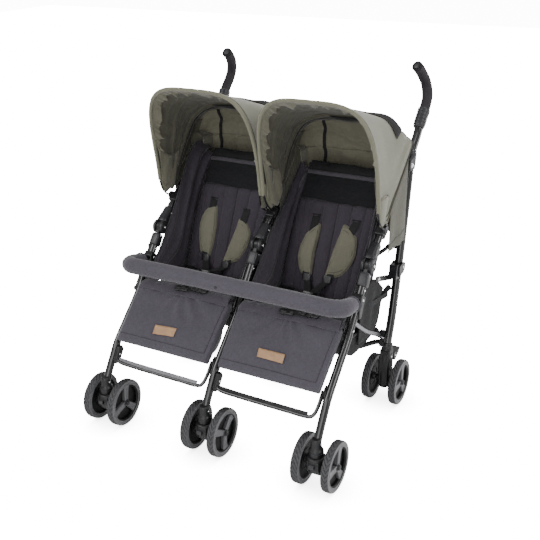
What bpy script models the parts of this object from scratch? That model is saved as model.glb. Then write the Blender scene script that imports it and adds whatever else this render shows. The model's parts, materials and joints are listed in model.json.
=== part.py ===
"""Side-by-side twin pushchair with an umbrella-style folding frame.

Metres, +Z up, -Y is the front. Points are written in a working frame whose
y = 0 is the front axle and z = 0 the floor; the root empty then moves the
whole object so that its origin is the middle of its footprint.
"""
import bpy
import math
from mathutils import Vector, Matrix

# ---------------------------------------------------------------- dimensions
FRAME_X = 0.340          # spacing of the three side frames
BAY_X = FRAME_X / 2      # middle of each seat
WHEEL_R = 0.070
WHEEL_DX = 0.043         # wheel centre from its frame plane
TYRE_W = 0.022
HUB_W = 0.026
REAR_Y = 0.475           # rear axle behind the front axle
SWIVEL_Y = -0.022        # caster axis in front of the front axle
Y_MID = 0.33885          # middle of the footprint, front to back

KNEE = (0.297, 0.5155)   # (y, z) of the lower frame joint
TOP = (0.568, 0.724)     # (y, z) of the upper frame joint
LINK = (0.481, 0.205)    # (y, z) of the side link's rear pivot
CANOPY = (0.383, 0.590)  # (y, z) of the canopy's clip and pivot
CREASE = (0.360, 0.326)  # (y, z) of the backrest's hinge line
CALF = (0.158, 0.381)    # (y, z) of the legrest's hinge line
CATCH = (0.5415, 0.420)  # (y, z) of the safety catch's pivot
PEDAL = (0.504, 0.140)   # (y, z) of the brake pedal's pivot
BUMPER = (-0.3425, 0.218, 0.440)

R_REAR = 0.0125          # tube radii
R_RAIL = 0.011
R_LEG = 0.011
R_GRIP = 0.0155
R_BUMPER = 0.026
AXLE_R = 0.0040
BORE_R = 0.0048
PIN_R = 0.0050
GAP = 0.0004

# ---------------------------------------------------------------- clean start
for ob in list(bpy.data.objects):
    bpy.data.objects.remove(ob, do_unlink=True)
for block in (bpy.data.meshes, bpy.data.materials, bpy.data.curves):
    for item in list(block):
        block.remove(item)


def material(name, colour, roughness, metallic=0.0):
    mat = bpy.data.materials.new(name)
    mat.use_nodes = True
    bsdf = mat.node_tree.nodes["Principled BSDF"]
    bsdf.inputs["Base Color"].default_value = (*colour, 1.0)
    bsdf.inputs["Roughness"].default_value = roughness
    bsdf.inputs["Metallic"].default_value = metallic
    mat.diffuse_color = (*colour, 1.0)
    return mat


TUBE = material("black_paint", (0.012, 0.012, 0.013), 0.25, 0.6)
PLASTIC = material("black_plastic", (0.02, 0.02, 0.022), 0.45)
GREY_PLASTIC = material("grey_plastic", (0.10, 0.10, 0.11), 0.45)
FOAM = material("foam_grip", (0.015, 0.015, 0.016), 0.85)
TYRE = material("eva_tyre", (0.045, 0.045, 0.048), 0.75)
STEEL = material("bright_steel", (0.45, 0.45, 0.46), 0.35, 0.9)
KHAKI = material("khaki_fabric", (0.20, 0.195, 0.14), 0.9)
CHARCOAL = material("charcoal_fabric", (0.055, 0.05, 0.057), 0.9)
HEATHER = material("grey_heather", (0.12, 0.11, 0.12), 0.9)
BLACK_FABRIC = material("black_fabric", (0.018, 0.018, 0.02), 0.9)

# ---------------------------------------------------------------- bodies
# Each moving body has an empty on its joint's axis. The pieces hang from it.
EMPTY = {}


def body(name, pivot=(0.0, 0.0, 0.0), parent=None):
    ob = bpy.data.objects.new("body_" + name, None)
    bpy.context.scene.collection.objects.link(ob)
    ob.empty_display_size = 0.03
    if parent is None:
        ob.location = (0.0, -Y_MID, 0.0)
        at = Vector((0.0, 0.0, 0.0))
    else:
        p_ob, p_at = EMPTY[parent]
        ob.parent = p_ob
        at = Vector(pivot)
        ob.location = at - p_at
    EMPTY[name] = (ob, at)


def side_name(x):
    return "left" if x < -0.01 else ("right" if x > 0.01 else "centre")


def add(name, verts, faces, mat, body_name, guide=False):
    """Makes a mesh object from working-frame points, hung on a body."""
    me = bpy.data.meshes.new(name)
    at = EMPTY[body_name][1]
    me.from_pydata([Vector(v) - at for v in verts], [], faces)
    me.update()
    if volume(me) < 0:
        me.flip_normals()
    me.materials.append(mat)
    ob = bpy.data.objects.new(name, me)
    bpy.context.scene.collection.objects.link(ob)
    ob.parent = EMPTY[body_name][0]
    if guide:
        ob.hide_render = True
        ob.display_type = 'WIRE'
    else:
        me.shade_smooth()
        me.set_sharp_from_angle(angle=math.radians(40))
    return ob


def volume(me):
    me.calc_loop_triangles()
    v = me.vertices
    total = 0.0
    for t in me.loop_triangles:
        a, b, c = (v[i].co for i in t.vertices)
        total += a.dot(b.cross(c))
    return total / 6.0


GUIDES = [0]


def join(ob, verts, faces, body_name, how):
    GUIDES[0] += 1
    g = add("guide_%03d" % GUIDES[0], verts, faces, ob.data.materials[0], body_name, guide=True)
    m = ob.modifiers.new(how.lower() + "_%d" % GUIDES[0], 'BOOLEAN')
    m.operation = how
    m.solver = 'EXACT'
    m.object = g


def fuse(ob, shape, body_name):
    join(ob, shape[0], shape[1], body_name, 'UNION')


def cut(ob, shape, body_name):
    join(ob, shape[0], shape[1], body_name, 'DIFFERENCE')


# ---------------------------------------------------------------- shape makers
def curve_points(points, per_span=4, ends=True):
    """Points of a smooth curve through the given ones (Catmull-Rom)."""
    p = [Vector(q) for q in points]
    p = [p[0] * 2 - p[1]] + p + [p[-1] * 2 - p[-2]]
    out = []
    for i in range(1, len(p) - 2):
        for k in range(per_span):
            t = k / per_span
            a, b, c, d = p[i - 1], p[i], p[i + 1], p[i + 2]
            out.append(0.5 * ((2 * b) + (c - a) * t + (2 * a - 5 * b + 4 * c - d) * t * t
                              + (3 * b - a - 3 * c + d) * t ** 3))
    out.append(p[-2])
    return out


def in_plane(x, pts):
    return [(x, y, z) for y, z in pts]


def sweep(points, radius, sides=8, wide=1.0):
    """A capped bar along a line. radius is one number or one for each point;
    wide stretches the section along its first axis (X for bars in a side plane)."""
    p = [Vector(q) for q in points]
    n = len(p)
    rad = [radius] * n if isinstance(radius, (int, float)) else list(radius)
    verts, faces = [], []
    u = None
    for i in range(n):
        if i == 0:
            t = (p[1] - p[0]).normalized()
        elif i == n - 1:
            t = (p[-1] - p[-2]).normalized()
        else:
            t = ((p[i] - p[i - 1]).normalized() + (p[i + 1] - p[i]).normalized()).normalized()
        if u is None:
            ref = Vector((1, 0, 0)) if abs(t.x) < 0.8 else Vector((0, 0, 1))
            u = ref
        u = (u - t * u.dot(t)).normalized()
        w = t.cross(u)
        for k in range(sides):
            a = 2 * math.pi * (k + 0.5) / sides
            verts.append(p[i] + rad[i] * (wide * math.cos(a) * u + math.sin(a) * w))
    for i in range(n - 1):
        for k in range(sides):
            k2 = (k + 1) % sides
            faces.append((i * sides + k, i * sides + k2, (i + 1) * sides + k2, (i + 1) * sides + k))
    faces.append(tuple(reversed(range(sides))))
    faces.append(tuple((n - 1) * sides + k for k in range(sides)))
    return verts, faces


def turned(profile, centre, axis=(0, 0, 1), segs=12, phase=0.5, ring=False):
    """Turns (radius, height) points about an axis. Ends on the axis close it;
    ring=True joins the last point to the first round a bore."""
    ax = Vector(axis).normalized()
    ref = Vector((0, 0, 1)) if abs(ax.z) < 0.8 else Vector((0, 1, 0))
    u = (ref - ax * ref.dot(ax)).normalized()
    w = ax.cross(u)
    c = Vector(centre)
    verts, rows = [], []
    for r, h in profile:
        if r == 0.0:
            rows.append([len(verts)] * segs)
            verts.append(c + ax * h)
        else:
            row = []
            for k in range(segs):
                a = 2 * math.pi * (k + phase) / segs
                row.append(len(verts))
                verts.append(c + ax * h + r * (math.cos(a) * u + math.sin(a) * w))
            rows.append(row)
    faces = []
    pairs = list(zip(rows[:-1], rows[1:]))
    if ring:
        pairs.append((rows[-1], rows[0]))
    for ra, rb in pairs:
        for k in range(segs):
            k2 = (k + 1) % segs
            f = []
            for i in (ra[k], ra[k2], rb[k2], rb[k]):
                if i not in f:
                    f.append(i)
            if len(f) > 2:
                faces.append(tuple(f))
    return verts, faces


def disc(r, x0, x1, x, yz, segs=12):
    """A plain round bar along X, between x0 and x1 about the frame plane x."""
    return turned([(0, x0), (r, x0), (r, x1), (0, x1)], (x, yz[0], yz[1]), (1, 0, 0), segs)


def prism(outline, x0, x1):
    """An outline of (y, z) points extruded along X."""
    n = len(outline)
    verts = [(x0, y, z) for y, z in outline] + [(x1, y, z) for y, z in outline]
    faces = [tuple(range(n)), tuple(reversed(range(n, 2 * n)))]
    for k in range(n):
        k2 = (k + 1) % n
        faces.append((k, n + k, n + k2, k2))
    return verts, faces


def lug_outline(centre, towards, r_eye, half, length, steps=8):
    """A round eye with a straight tongue, as (y, z) points."""
    c = Vector(centre)
    d = (Vector(towards) - c).normalized()
    nrm = Vector((-d.y, d.x))
    start = math.asin(min(1.0, half / r_eye))
    pts = []
    for k in range(steps + 1):
        a = start + (2 * math.pi - 2 * start) * k / steps
        pts.append(c + r_eye * (math.cos(a) * d + math.sin(a) * nrm))
    pts.append(c + d * length - nrm * half)
    pts.append(c + d * length + nrm * half)
    return [(p.x, p.y) for p in pts]


def sheet_solid(outer, inner):
    """Closes two matching grids of points into one thick sheet."""
    rows, cols = len(outer), len(outer[0])
    verts = [v for row in outer for v in row] + [v for row in inner for v in row]
    off = rows * cols
    faces = []
    for i in range(rows - 1):
        for j in range(cols - 1):
            a, b, c, d = i * cols + j, i * cols + j + 1, (i + 1) * cols + j + 1, (i + 1) * cols + j
            faces.append((a, b, c, d))
            faces.append((off + d, off + c, off + b, off + a))
    for i in range(rows - 1):
        for j in (0, cols - 1):
            a, d = i * cols + j, (i + 1) * cols + j
            f = (a, d, off + d, off + a)
            faces.append(f if j == 0 else f[::-1])
    for j in range(cols - 1):
        for i in (0, rows - 1):
            a, b = i * cols + j, i * cols + j + 1
            f = (a, off + a, off + b, b)
            faces.append(f if i == 0 else f[::-1])
    return verts, faces


def lerp(a, b, t):
    return tuple(p + (q - p) * t for p, q in zip(a, b))


def on_line(points, t):
    """The point a share t of the way along a list of points, span by span."""
    n = len(points) - 1
    s = min(max(t * n, 0.0), n - 1e-9)
    i = int(s)
    return lerp(points[i], points[i + 1], s - i)


# ---------------------------------------------------------------- body tree
body("rear_frame")
body("rails", (0, *TOP), "rear_frame")
body("front_legs", (0, *KNEE), "rails")
for X in (-FRAME_X, 0.0, FRAME_X):
    s = side_name(X)
    body("caster_" + s, (X, SWIVEL_Y, 0.10), "front_legs")
    for tag, sx in (("a", -1), ("b", 1)):
        body("wheel_front_%s_%s" % (s, tag), (X + sx * WHEEL_DX, 0.0, WHEEL_R), "caster_" + s)
        body("wheel_rear_%s_%s" % (s, tag), (X + sx * WHEEL_DX, REAR_Y, WHEEL_R), "rear_frame")
body("side_links", (0, *LINK), "rear_frame")
body("bumper", BUMPER, "front_legs")
for sx, s in ((-1, "left"), (1, "right")):
    body("canopy_" + s, (sx * BAY_X, *CANOPY), "rails")
    body("backrest_" + s, (sx * BAY_X, *CREASE), "rear_frame")
    body("legrest_" + s, (sx * BAY_X, *CALF), "front_legs")
    body("brake_" + s, (sx * FRAME_X, *PEDAL), "rear_frame")
body("catch", (FRAME_X, *CATCH), "rear_frame")


# ---------------------------------------------------------------- wheels
def wheel(name, x, y, body_name, segs=15):
    """Tyre, rim with three broad spokes and hub, with a bore for its axle."""
    r = WHEEL_R / math.cos(math.pi / segs)
    w, t, hw = TYRE_W / 2, 0.005, HUB_W / 2
    rim = 0.047
    ring = [(r - 0.004, w), (r, w - 0.004), (r, 0.004 - w), (r - 0.004, -w),
            (rim, -w), (rim, -t), (rim, t), (rim, w)]
    hub = [(0.016, hw), (0.016, t), (0.016, -t), (0.016, -hw), (BORE_R, -hw), (BORE_R, hw)]
    verts = []
    rows_ring, rows_hub = [], []
    for prof, rows in ((ring, rows_ring), (hub, rows_hub)):
        for rad, h in prof:
            row = []
            for k in range(segs):
                a = 2 * math.pi * (k + 0.5) / segs - math.pi / 2
                row.append(len(verts))
                verts.append((x + h, y + rad * math.cos(a), WHEEL_R + rad * math.sin(a)))
            rows.append(row)
    faces = []
    spoke = [k % 5 in (0, 1) for k in range(segs)]

    def quad(ra, rb, k):
        k2 = (k + 1) % segs
        return (ra[k], ra[k2], rb[k2], rb[k])

    for k in range(segs):
        k2 = (k + 1) % segs
        for i in range(8):
            j = (i + 1) % 8
            if (i, j) == (5, 6) and spoke[k]:
                continue
            faces.append(quad(rows_ring[i], rows_ring[j], k))
        for i in range(6):
            j = (i + 1) % 6
            if (i, j) == (1, 2) and spoke[k]:
                continue
            faces.append(quad(rows_hub[i], rows_hub[j], k)[::-1])
        if spoke[k]:
            # broad spoke: two faces, and a side wall where it ends
            faces.append((rows_ring[6][k], rows_ring[6][k2], rows_hub[1][k2], rows_hub[1][k]))
            faces.append((rows_hub[2][k], rows_hub[2][k2], rows_ring[5][k2], rows_ring[5][k]))
            if not spoke[(k - 1) % segs]:
                faces.append((rows_ring[6][k], rows_hub[1][k], rows_hub[2][k], rows_ring[5][k]))
            if not spoke[k2]:
                faces.append((rows_ring[6][k2], rows_ring[5][k2], rows_hub[2][k2], rows_hub[1][k2]))
    me_faces = orient(verts, faces)
    return add(name, verts, me_faces, TYRE, body_name)


def orient(verts, faces):
    """Turns the faces of one closed body the same way round."""
    edge = {}
    for i, f in enumerate(faces):
        for a, b in zip(f, f[1:] + f[:1]):
            edge.setdefault(frozenset((a, b)), []).append((i, (a, b)))
    done, flip = {0}, {0: False}
    stack = [0]
    while stack:
        i = stack.pop()
        f = faces[i]
        for a, b in zip(f, f[1:] + f[:1]):
            for j, ab in edge[frozenset((a, b))]:
                if j not in done:
                    same = ab == (a, b)
                    flip[j] = flip[i] != same
                    done.add(j)
                    stack.append(j)
    return [f[::-1] if flip.get(i) else f for i, f in enumerate(faces)]


def axle(x, y):
    """A plain axle with a retaining head outside each wheel."""
    e = WHEEL_DX + HUB_W / 2 + 0.0006
    return turned([(0, -e - 0.002), (0.0075, -e - 0.002), (0.0075, -e), (AXLE_R, -e),
                   (AXLE_R, e), (0.0075, e), (0.0075, e + 0.002), (0, e + 0.002)],
                  (x, y, WHEEL_R), (1, 0, 0), 8)


# the rear tube's line, from its foot up, with the handle's part on the outer two
REAR_LINE = [(0.4665, 0.146), (0.481, 0.205), (0.499, 0.255), (0.514, 0.310), (0.535, 0.400),
             (0.5545, 0.485), (0.579, 0.615), (0.600, 0.735)]
LEG_LINE = [(0.2795, 0.4938), (0.231, 0.4338), (0.165, 0.352), (0.105, 0.294), (0.050, 0.242),
            (0.020, 0.200), (-0.003, 0.165), (-0.018, 0.138)]

for X in (-FRAME_X, 0.0, FRAME_X):
    s = side_name(X)

    # -------- wheels, two to each leg
    for tag, sx in (("a", -1), ("b", 1)):
        n = "wheel_front_%s_%s" % (s, tag)
        wheel(n, X + sx * WHEEL_DX, 0.0, n)
        n = "wheel_rear_%s_%s" % (s, tag)
        wheel(n, X + sx * WHEEL_DX, REAR_Y, n)

    # -------- caster: dome, arm, axle and the stem that turns in the leg's socket
    b = "caster_" + s
    arm = [(-0.046, 0.099), (0.004, 0.099), (0.012, 0.082), (0.013, 0.066), (0.004, 0.055),
           (-0.016, 0.048), (-0.038, 0.054), (-0.047, 0.072)]
    ob = add("swivel_fork_" + s, *prism(arm, X - 0.019, X + 0.019), PLASTIC, b)
    fuse(ob, turned([(0, 0.062), (0.021, 0.062), (0.0265, 0.074), (0.0265, 0.100), (0.022, 0.1052),
                     (0.0055, 0.1052), (0.0055, 0.121), (0, 0.121)],
                    (X, SWIVEL_Y, 0.0), (0, 0, 1), 12), b)
    fuse(ob, axle(X, 0.0), b)

    # -------- front leg: tongue and eye at the knee, tube, socket at the foot
    b = "front_legs"
    pts = curve_points(in_plane(X, LEG_LINE), 1)
    ob = add("front_leg_" + s, *sweep(pts, R_LEG, 8), TUBE, b)
    lug = lug_outline(KNEE, LEG_LINE[1], 0.0165, 0.009, 0.040)
    fuse(ob, prism(lug, X - 0.0058, X + 0.0058), b)
    fuse(ob, turned([(0, 0.1062), (0.0195, 0.1062), (0.0195, 0.124), (0.0145, 0.134), (0.0125, 0.152),
                     (0, 0.152)], (X, SWIVEL_Y, 0.0), (0, 0, 1), 12), b)
    cut(ob, turned([(0, 0.100), (0.0062, 0.100), (0.0062, 0.123), (0, 0.123)],
                   (X, SWIVEL_Y, 0.0), (0, 0, 1), 10), b)
    cut(ob, disc(PIN_R + 0.0005, -0.02, 0.02, X, KNEE, 10), b)

    # -------- knee joint: two cheeks with their pin, and the rail's sleeve
    b = "rails"
    d = (Vector(TOP) - Vector(KNEE)).normalized()

    def along(dist):
        return (KNEE[0] + d.x * dist, KNEE[1] + d.y * dist)

    ob = add("knee_joint_" + s, *turned(
        [(0, -0.0175), (0.0175, -0.0175), (0.0205, -0.0145), (0.0205, -0.0066), (PIN_R, -0.0066),
         (PIN_R, 0.0066), (0.0205, 0.0066), (0.0205, 0.0145), (0.0175, 0.0175), (0, 0.0175)],
        (X, *KNEE), (1, 0, 0), 12), PLASTIC, b)
    fuse(ob, sweep(in_plane(X, [along(0.0185), along(0.064)]), 0.0155, 8), b)
    cut(ob, sweep(in_plane(X, [along(0.032), along(0.070)]), 0.0119, 8), b)

    # -------- rail: from the knee's sleeve to its eye in the top joint
    ob = add("rail_" + s, *sweep(in_plane(X, [along(0.0325), along((Vector(TOP) - Vector(KNEE)).length - 0.023)]),
                                 R_RAIL, 8), TUBE, b)
    fuse(ob, prism(lug_outline(TOP, KNEE, 0.0125, 0.009, 0.045), X - 0.0058, X + 0.0058), b)
    cut(ob, disc(PIN_R + 0.0005, -0.02, 0.02, X, TOP, 10), b)

    # -------- rear tube, through the top joint; the outer two go on as handles
    b = "rear_frame"
    line = [(X, y, z) for y, z in REAR_LINE]
    if X != 0.0:
        sg = 1 if X > 0 else -1
        line += [(X, 0.612, 0.758), (X - sg * 0.0005, 0.634, 0.778), (X - sg * 0.0015, 0.658, 0.801),
                 (X - sg * 0.0022, 0.674, 0.822), (X - sg * 0.0012, 0.684, 0.838)]
    else:
        line += [(X, 0.6025, 0.749)]
    ob = add("rear_tube_" + s, *sweep(line, R_REAR, 8), TUBE, b)
    if X != 0.0:
        sg = 1 if X > 0 else -1
        fuse(ob, disc(0.004, -0.0228 if sg > 0 else 0.008, -0.008 if sg > 0 else 0.0228, X, LINK, 8), b)

    # -------- top joint: sleeve on the rear tube, clevis and pin for the rail
    dt = (Vector(REAR_LINE[-1]) - Vector(REAR_LINE[-2])).normalized()
    p5 = Vector(REAR_LINE[-1])
    outline = [(TOP[0] - 0.017, TOP[1] - 0.008), (TOP[0] - 0.007, TOP[1] - 0.018),
               tuple(p5 - dt * 0.027 + Vector((-0.014, 0.0))), tuple(p5 - dt * 0.027 + Vector((0.014, 0.0))),
               tuple(p5 + dt * 0.014 + Vector((0.0170, 0.0))), tuple(p5 + dt * 0.024 + Vector((0.008, 0.0))),
               (TOP[0] + 0.018, TOP[1] + 0.031), (TOP[0] - 0.007, TOP[1] + 0.017), (TOP[0] - 0.018, TOP[1] + 0.006)]
    ob = add("top_joint_" + s, *prism(outline, X - 0.0165, X + 0.0165), GREY_PLASTIC, b)
    # slot for the rail's eye, open to the front and below
    slot = [(TOP[0] + 0.013, TOP[1] - 0.05), (TOP[0] + 0.0135, TOP[1] + 0.002), (TOP[0] + 0.008, TOP[1] + 0.012),
            (TOP[0] - 0.003, TOP[1] + 0.0145), (TOP[0] - 0.05, TOP[1] + 0.0145), (TOP[0] - 0.05, TOP[1] - 0.05)]
    cut(ob, prism(slot, X - 0.0066, X + 0.0066), b)
    hole = [(X, *(p5 - dt * 0.06)), (X, *p5)]
    hole += [(X, 0.612, 0.758), (X, 0.634, 0.778)] if X != 0.0 else [(X, 0.6025, 0.749), (X, 0.6095, 0.789)]
    cut(ob, sweep(hole, R_REAR + 0.0006, 8), b)
    fuse(ob, disc(PIN_R, -0.0165, 0.0165, X, TOP, 8), b)

    # -------- rear foot: housing with the tube's socket and the axle
    foot = [(0.4545, 0.176), (0.491, 0.176), (0.493, 0.120), (0.494, 0.075), (0.487, 0.053), (0.464, 0.047),
            (0.447, 0.062), (0.446, 0.120)]
    ob = add("rear_axle_housing_" + s, *prism(foot, X - 0.0160, X + 0.0160), PLASTIC, b)
    low = Vector(REAR_LINE[0])
    dl = (Vector(REAR_LINE[1]) - low).normalized()
    cut(ob, sweep([(X, *(low - dl * 0.001)), (X, *(low + dl * 0.06))], R_REAR + 0.0006, 8), b)
    fuse(ob, axle(X, REAR_Y), b)

# ---------------------------------------------------------------- handle grips
for sx, s in ((-1, "left"), (1, "right")):
    gx = [(0.3375, 0.676, 0.8255), (0.3395, 0.691, 0.846), (0.3400, 0.7095, 0.8675), (0.3380, 0.7265, 0.888),
          (0.3335, 0.7335, 0.910), (0.3285, 0.7305, 0.932), (0.3230, 0.7170, 0.953), (0.3190, 0.6990, 0.971),
          (0.3165, 0.6790, 0.984)]
    line = [(sx * x, y, z) for x, y, z in gx]
    ob = add("grip_" + s, *sweep(line, R_GRIP, 10), FOAM, "rear_frame")
    hole = [(sx * 0.3386, 0.6535, 0.796), (sx * 0.3378, 0.674, 0.822), (sx * 0.3389, 0.6848, 0.8392)]
    cut(ob, sweep(hole, R_REAR + 0.0008, 10), "rear_frame")

# ---------------------------------------------------------------- braces
def rear_y(z):
    for (y0, z0), (y1, z1) in zip(REAR_LINE[:-1], REAR_LINE[1:]):
        if z0 <= z <= z1:
            return y0 + (y1 - y0) * (z - z0) / (z1 - z0)
    return REAR_LINE[-1][0]


for sx, s in ((-1, "left"), (1, "right")):
    lo, hi = 0.205, 0.480
    inner, outer = sx * 0.0190, sx * (FRAME_X - 0.0270)
    bars = {"front": ((outer, rear_y(lo) - 0.009, lo + 0.012), (inner, rear_y(hi) - 0.009, hi)),
            "back": ((inner, rear_y(lo) + 0.009, lo + 0.012), (outer, rear_y(hi) + 0.009, hi))}
    for tag, (p, q) in bars.items():
        add("cross_brace_%s_%s" % (s, tag), *sweep([p, q], 0.006, 6), TUBE, "rear_frame")
    # the lower brace droops to its locking hinge in the middle of the bay
    mid = sx * BAY_X
    low = [(inner, 0.484, 0.187), (sx * 0.045, 0.488, 0.179), (mid - 0.018, 0.480, 0.122), (mid + 0.018, 0.480, 0.122),
           (sx * (FRAME_X - 0.045), 0.488, 0.179), (outer, 0.484, 0.187)]
    low = sorted(low, key=lambda q: q[0])
    add("lower_brace_" + s, *sweep(low, [0.0085, 0.0075, 0.0075, 0.0075, 0.0075, 0.0085], 6), TUBE, "rear_frame")

    # -------- side link: flat bar from the rear tube's pin to the front leg
    x0, x1 = sx * 0.3186, sx * 0.3216
    top_edge = [(0.192, 0.3585), (0.266, 0.3590), (0.369, 0.2860)]
    low_edge = [(0.355, 0.2700), (0.262, 0.3400), (0.192, 0.3420)]
    eye = lug_outline(LINK, (0.369, 0.286), 0.0105, 0.008, 0.060)
    body_outline = top_edge + [(LINK[0] - 0.040, LINK[1] + 0.035), (LINK[0] - 0.048, LINK[1] + 0.019)] + low_edge
    ob = add("side_link_" + s, *prism(body_outline, min(x0, x1), max(x0, x1)), STEEL, "side_links")
    fuse(ob, prism(eye, min(x0, x1), max(x0, x1)), "side_links")
    cut(ob, disc(0.0046, -0.03, 0.03, sx * FRAME_X, LINK, 10), "side_links")

    # -------- brake pedal behind the outer rear feet
    px = sx * FRAME_X
    ped = [(0.4950, 0.150), (0.497, 0.128), (0.509, 0.124), (0.538, 0.138), (0.546, 0.148), (0.541, 0.153),
           (0.513, 0.146), (0.502, 0.154)]
    add("brake_pedal_" + s, *prism(ped, px - 0.017, px + 0.017), GREY_PLASTIC, "brake_" + s)

# ---------------------------------------------------------------- safety catch on the right rear tube
cx = FRAME_X
block = [(0.489, 0.398), (0.517, 0.392), (0.520, 0.436), (0.495, 0.440)]
ob = add("fold_catch", *prism(block, cx - 0.012, cx + 0.012), PLASTIC, "catch")
cheek = [(0.513, 0.399), (0.545, 0.402), (0.557, 0.414), (0.555, 0.430), (0.542, 0.436), (0.513, 0.433)]
for a0, a1 in ((-0.0165, -0.0131), (0.0131, 0.0165)):
    fuse(ob, prism(cheek, cx + a0, cx + a1), "catch")
fuse(ob, prism([(0.509, 0.400), (0.5185, 0.400), (0.5185, 0.432), (0.509, 0.432)], cx - 0.0165, cx + 0.0165), "catch")

# ---------------------------------------------------------------- footrest bars
for sx, s in ((-1, "left"), (1, "right")):
    x0 = 0.0 if sx > 0 else -FRAME_X
    bar = [(x0 + 0.0165, 0.020, 0.206), (x0 + 0.034, 0.009, 0.197), (x0 + 0.10, 0.008, 0.194),
           (x0 + 0.24, 0.008, 0.192), (x0 + 0.296, 0.008, 0.192), (x0 + 0.314, 0.013, 0.198),
           (x0 + 0.3205, 0.030, 0.217), (x0 + 0.3205, 0.060, 0.247)]
    ob = add("footrest_bar_" + s, *sweep(bar, 0.0052, 6), TUBE, "front_legs")
    bracket = [(0.004, 0.190), (0.022, 0.190), (0.046, 0.222), (0.040, 0.236), (0.026, 0.236), (0.006, 0.206)]
    fuse(ob, prism(bracket, x0 + 0.0122, x0 + 0.0245), "front_legs")

# ---------------------------------------------------------------- bumper bar
half = [(0.3425, 0.2155, 0.4405), (0.3425, 0.204, 0.4425), (0.3420, 0.197, 0.4435), (0.3410, 0.170, 0.4480),
        (0.3375, 0.136, 0.4540), (0.3165, 0.110, 0.4600), (0.2850, 0.100, 0.4640), (0.150, 0.098, 0.4655)]
line = [(-x, y, z) for x, y, z in half] + [(0.0, 0.098, 0.4655)] + [(x, y, z) for x, y, z in reversed(half)]
radii = [0.0075, 0.0085, 0.0175] + [R_BUMPER] * (len(half) - 3)
radii = radii + [R_BUMPER] + radii[::-1]
add("bumper_bar", *sweep(line, radii, 10), HEATHER, "bumper")

# ---------------------------------------------------------------- canopies
FRONT_TIP, FRONT_TOP = (0.331, 0.655), (0.266, 0.950)
TIPS = [FRONT_TIP, (0.350, 0.629), (0.385, 0.6120), (0.420, 0.645), (0.462, 0.681), (0.503, 0.719), (0.540, 0.756)]
TOPS = [FRONT_TOP, (0.330, 0.934), (0.398, 0.914), (0.465, 0.891), (0.520, 0.869), (0.566, 0.843), (0.594, 0.806)]


def rail_z(y):
    """Height of the rails' middle line, and of the top joint behind it."""
    return KNEE[1] + (min(y, TOP[0]) - KNEE[0]) * (TOP[1] - KNEE[1]) / (TOP[0] - KNEE[0])


HEIGHTS = (0.0, 0.2, 0.4, 0.58, 0.73, 0.85, 0.93, 0.975)   # shares of the arch's height
SPREADS = (0.42, 0.21, 0.0)                                # then shares of its half-width


def arch(sx, tip, top, inset=0.0, power=4.0):
    """One bow of the canopy, from its tip by the middle frame over to the outer one."""
    half = [((1.0 - h ** power) ** (1.0 / power), h) for h in HEIGHTS]
    half += [(u, (1.0 - u ** power) ** (1.0 / power)) for u in SPREADS]
    pts = []
    for sgn, run in ((-1.0, half), (1.0, half[-2::-1])):
        for u, h in run:
            y = tip[0] + (top[0] - tip[0]) * h ** 1.4
            z = tip[1] + (top[1] - inset - tip[1]) * h
            # beside the rails the cloth passes on their outer side, above them it draws in
            blend = min(1.0, max(0.0, (z - rail_z(y) - 0.034) / 0.07))
            xin = 0.0128 + (0.0035 - 0.0128) * blend + inset
            xout = 0.3556 + (0.3530 - 0.3556) * blend - inset
            spread = 1.0 - (1.0 - u) * blend
            pts.append((sx * ((xin + xout) / 2 + sgn * spread * (xout - xin) / 2), y, z))
    return pts


for sx, s in ((-1, "left"), (1, "right")):
    outer = [arch(sx, tip, top) for tip, top in zip(TIPS, TOPS)]
    inner = [arch(sx, tip, top, 0.003) for tip, top in zip(TIPS, TOPS)]
    # the front of the cloth keeps clear of its bow
    add("canopy_fabric_" + s, *sheet_solid(outer, inner), KHAKI, "canopy_" + s)

    # -------- front bow: a flat strip just in front of the cloth, down to its clips
    f_out = arch(sx, FRONT_TIP, FRONT_TOP)
    f_in = arch(sx, FRONT_TIP, FRONT_TOP, 0.003)
    back = [(x, y - 0.0008, z + 0.0) for x, y, z in f_out]
    back_in = [(x, y - 0.0008, z) for x, y, z in f_in]
    fore = [(x, y - 0.011, z - 0.001) for x, y, z in f_out]
    fore_in = [(x, y - 0.011, z - 0.001) for x, y, z in f_in]
    ob = add("canopy_bow_" + s, *sheet_solid([fore, back], [fore_in, back_in]), PLASTIC, "canopy_" + s)
    # the bow's legs down to the clips on the rails
    for foot_x, clip_x in ((0.0052, 0.0142), (0.3513, 0.3538)):
        leg = [(sx * foot_x, 0.3245, 0.6600), (sx * (foot_x * 0.6 + clip_x * 0.4), 0.334, 0.630),
               (sx * clip_x, 0.3560, 0.604), (sx * clip_x, *CANOPY)]
        fuse(ob, sweep(leg, 0.0024, 6), "canopy_" + s)
        fuse(ob, disc(0.0105, -0.0024, 0.0024, sx * clip_x, CANOPY, 8), "canopy_" + s)

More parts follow.
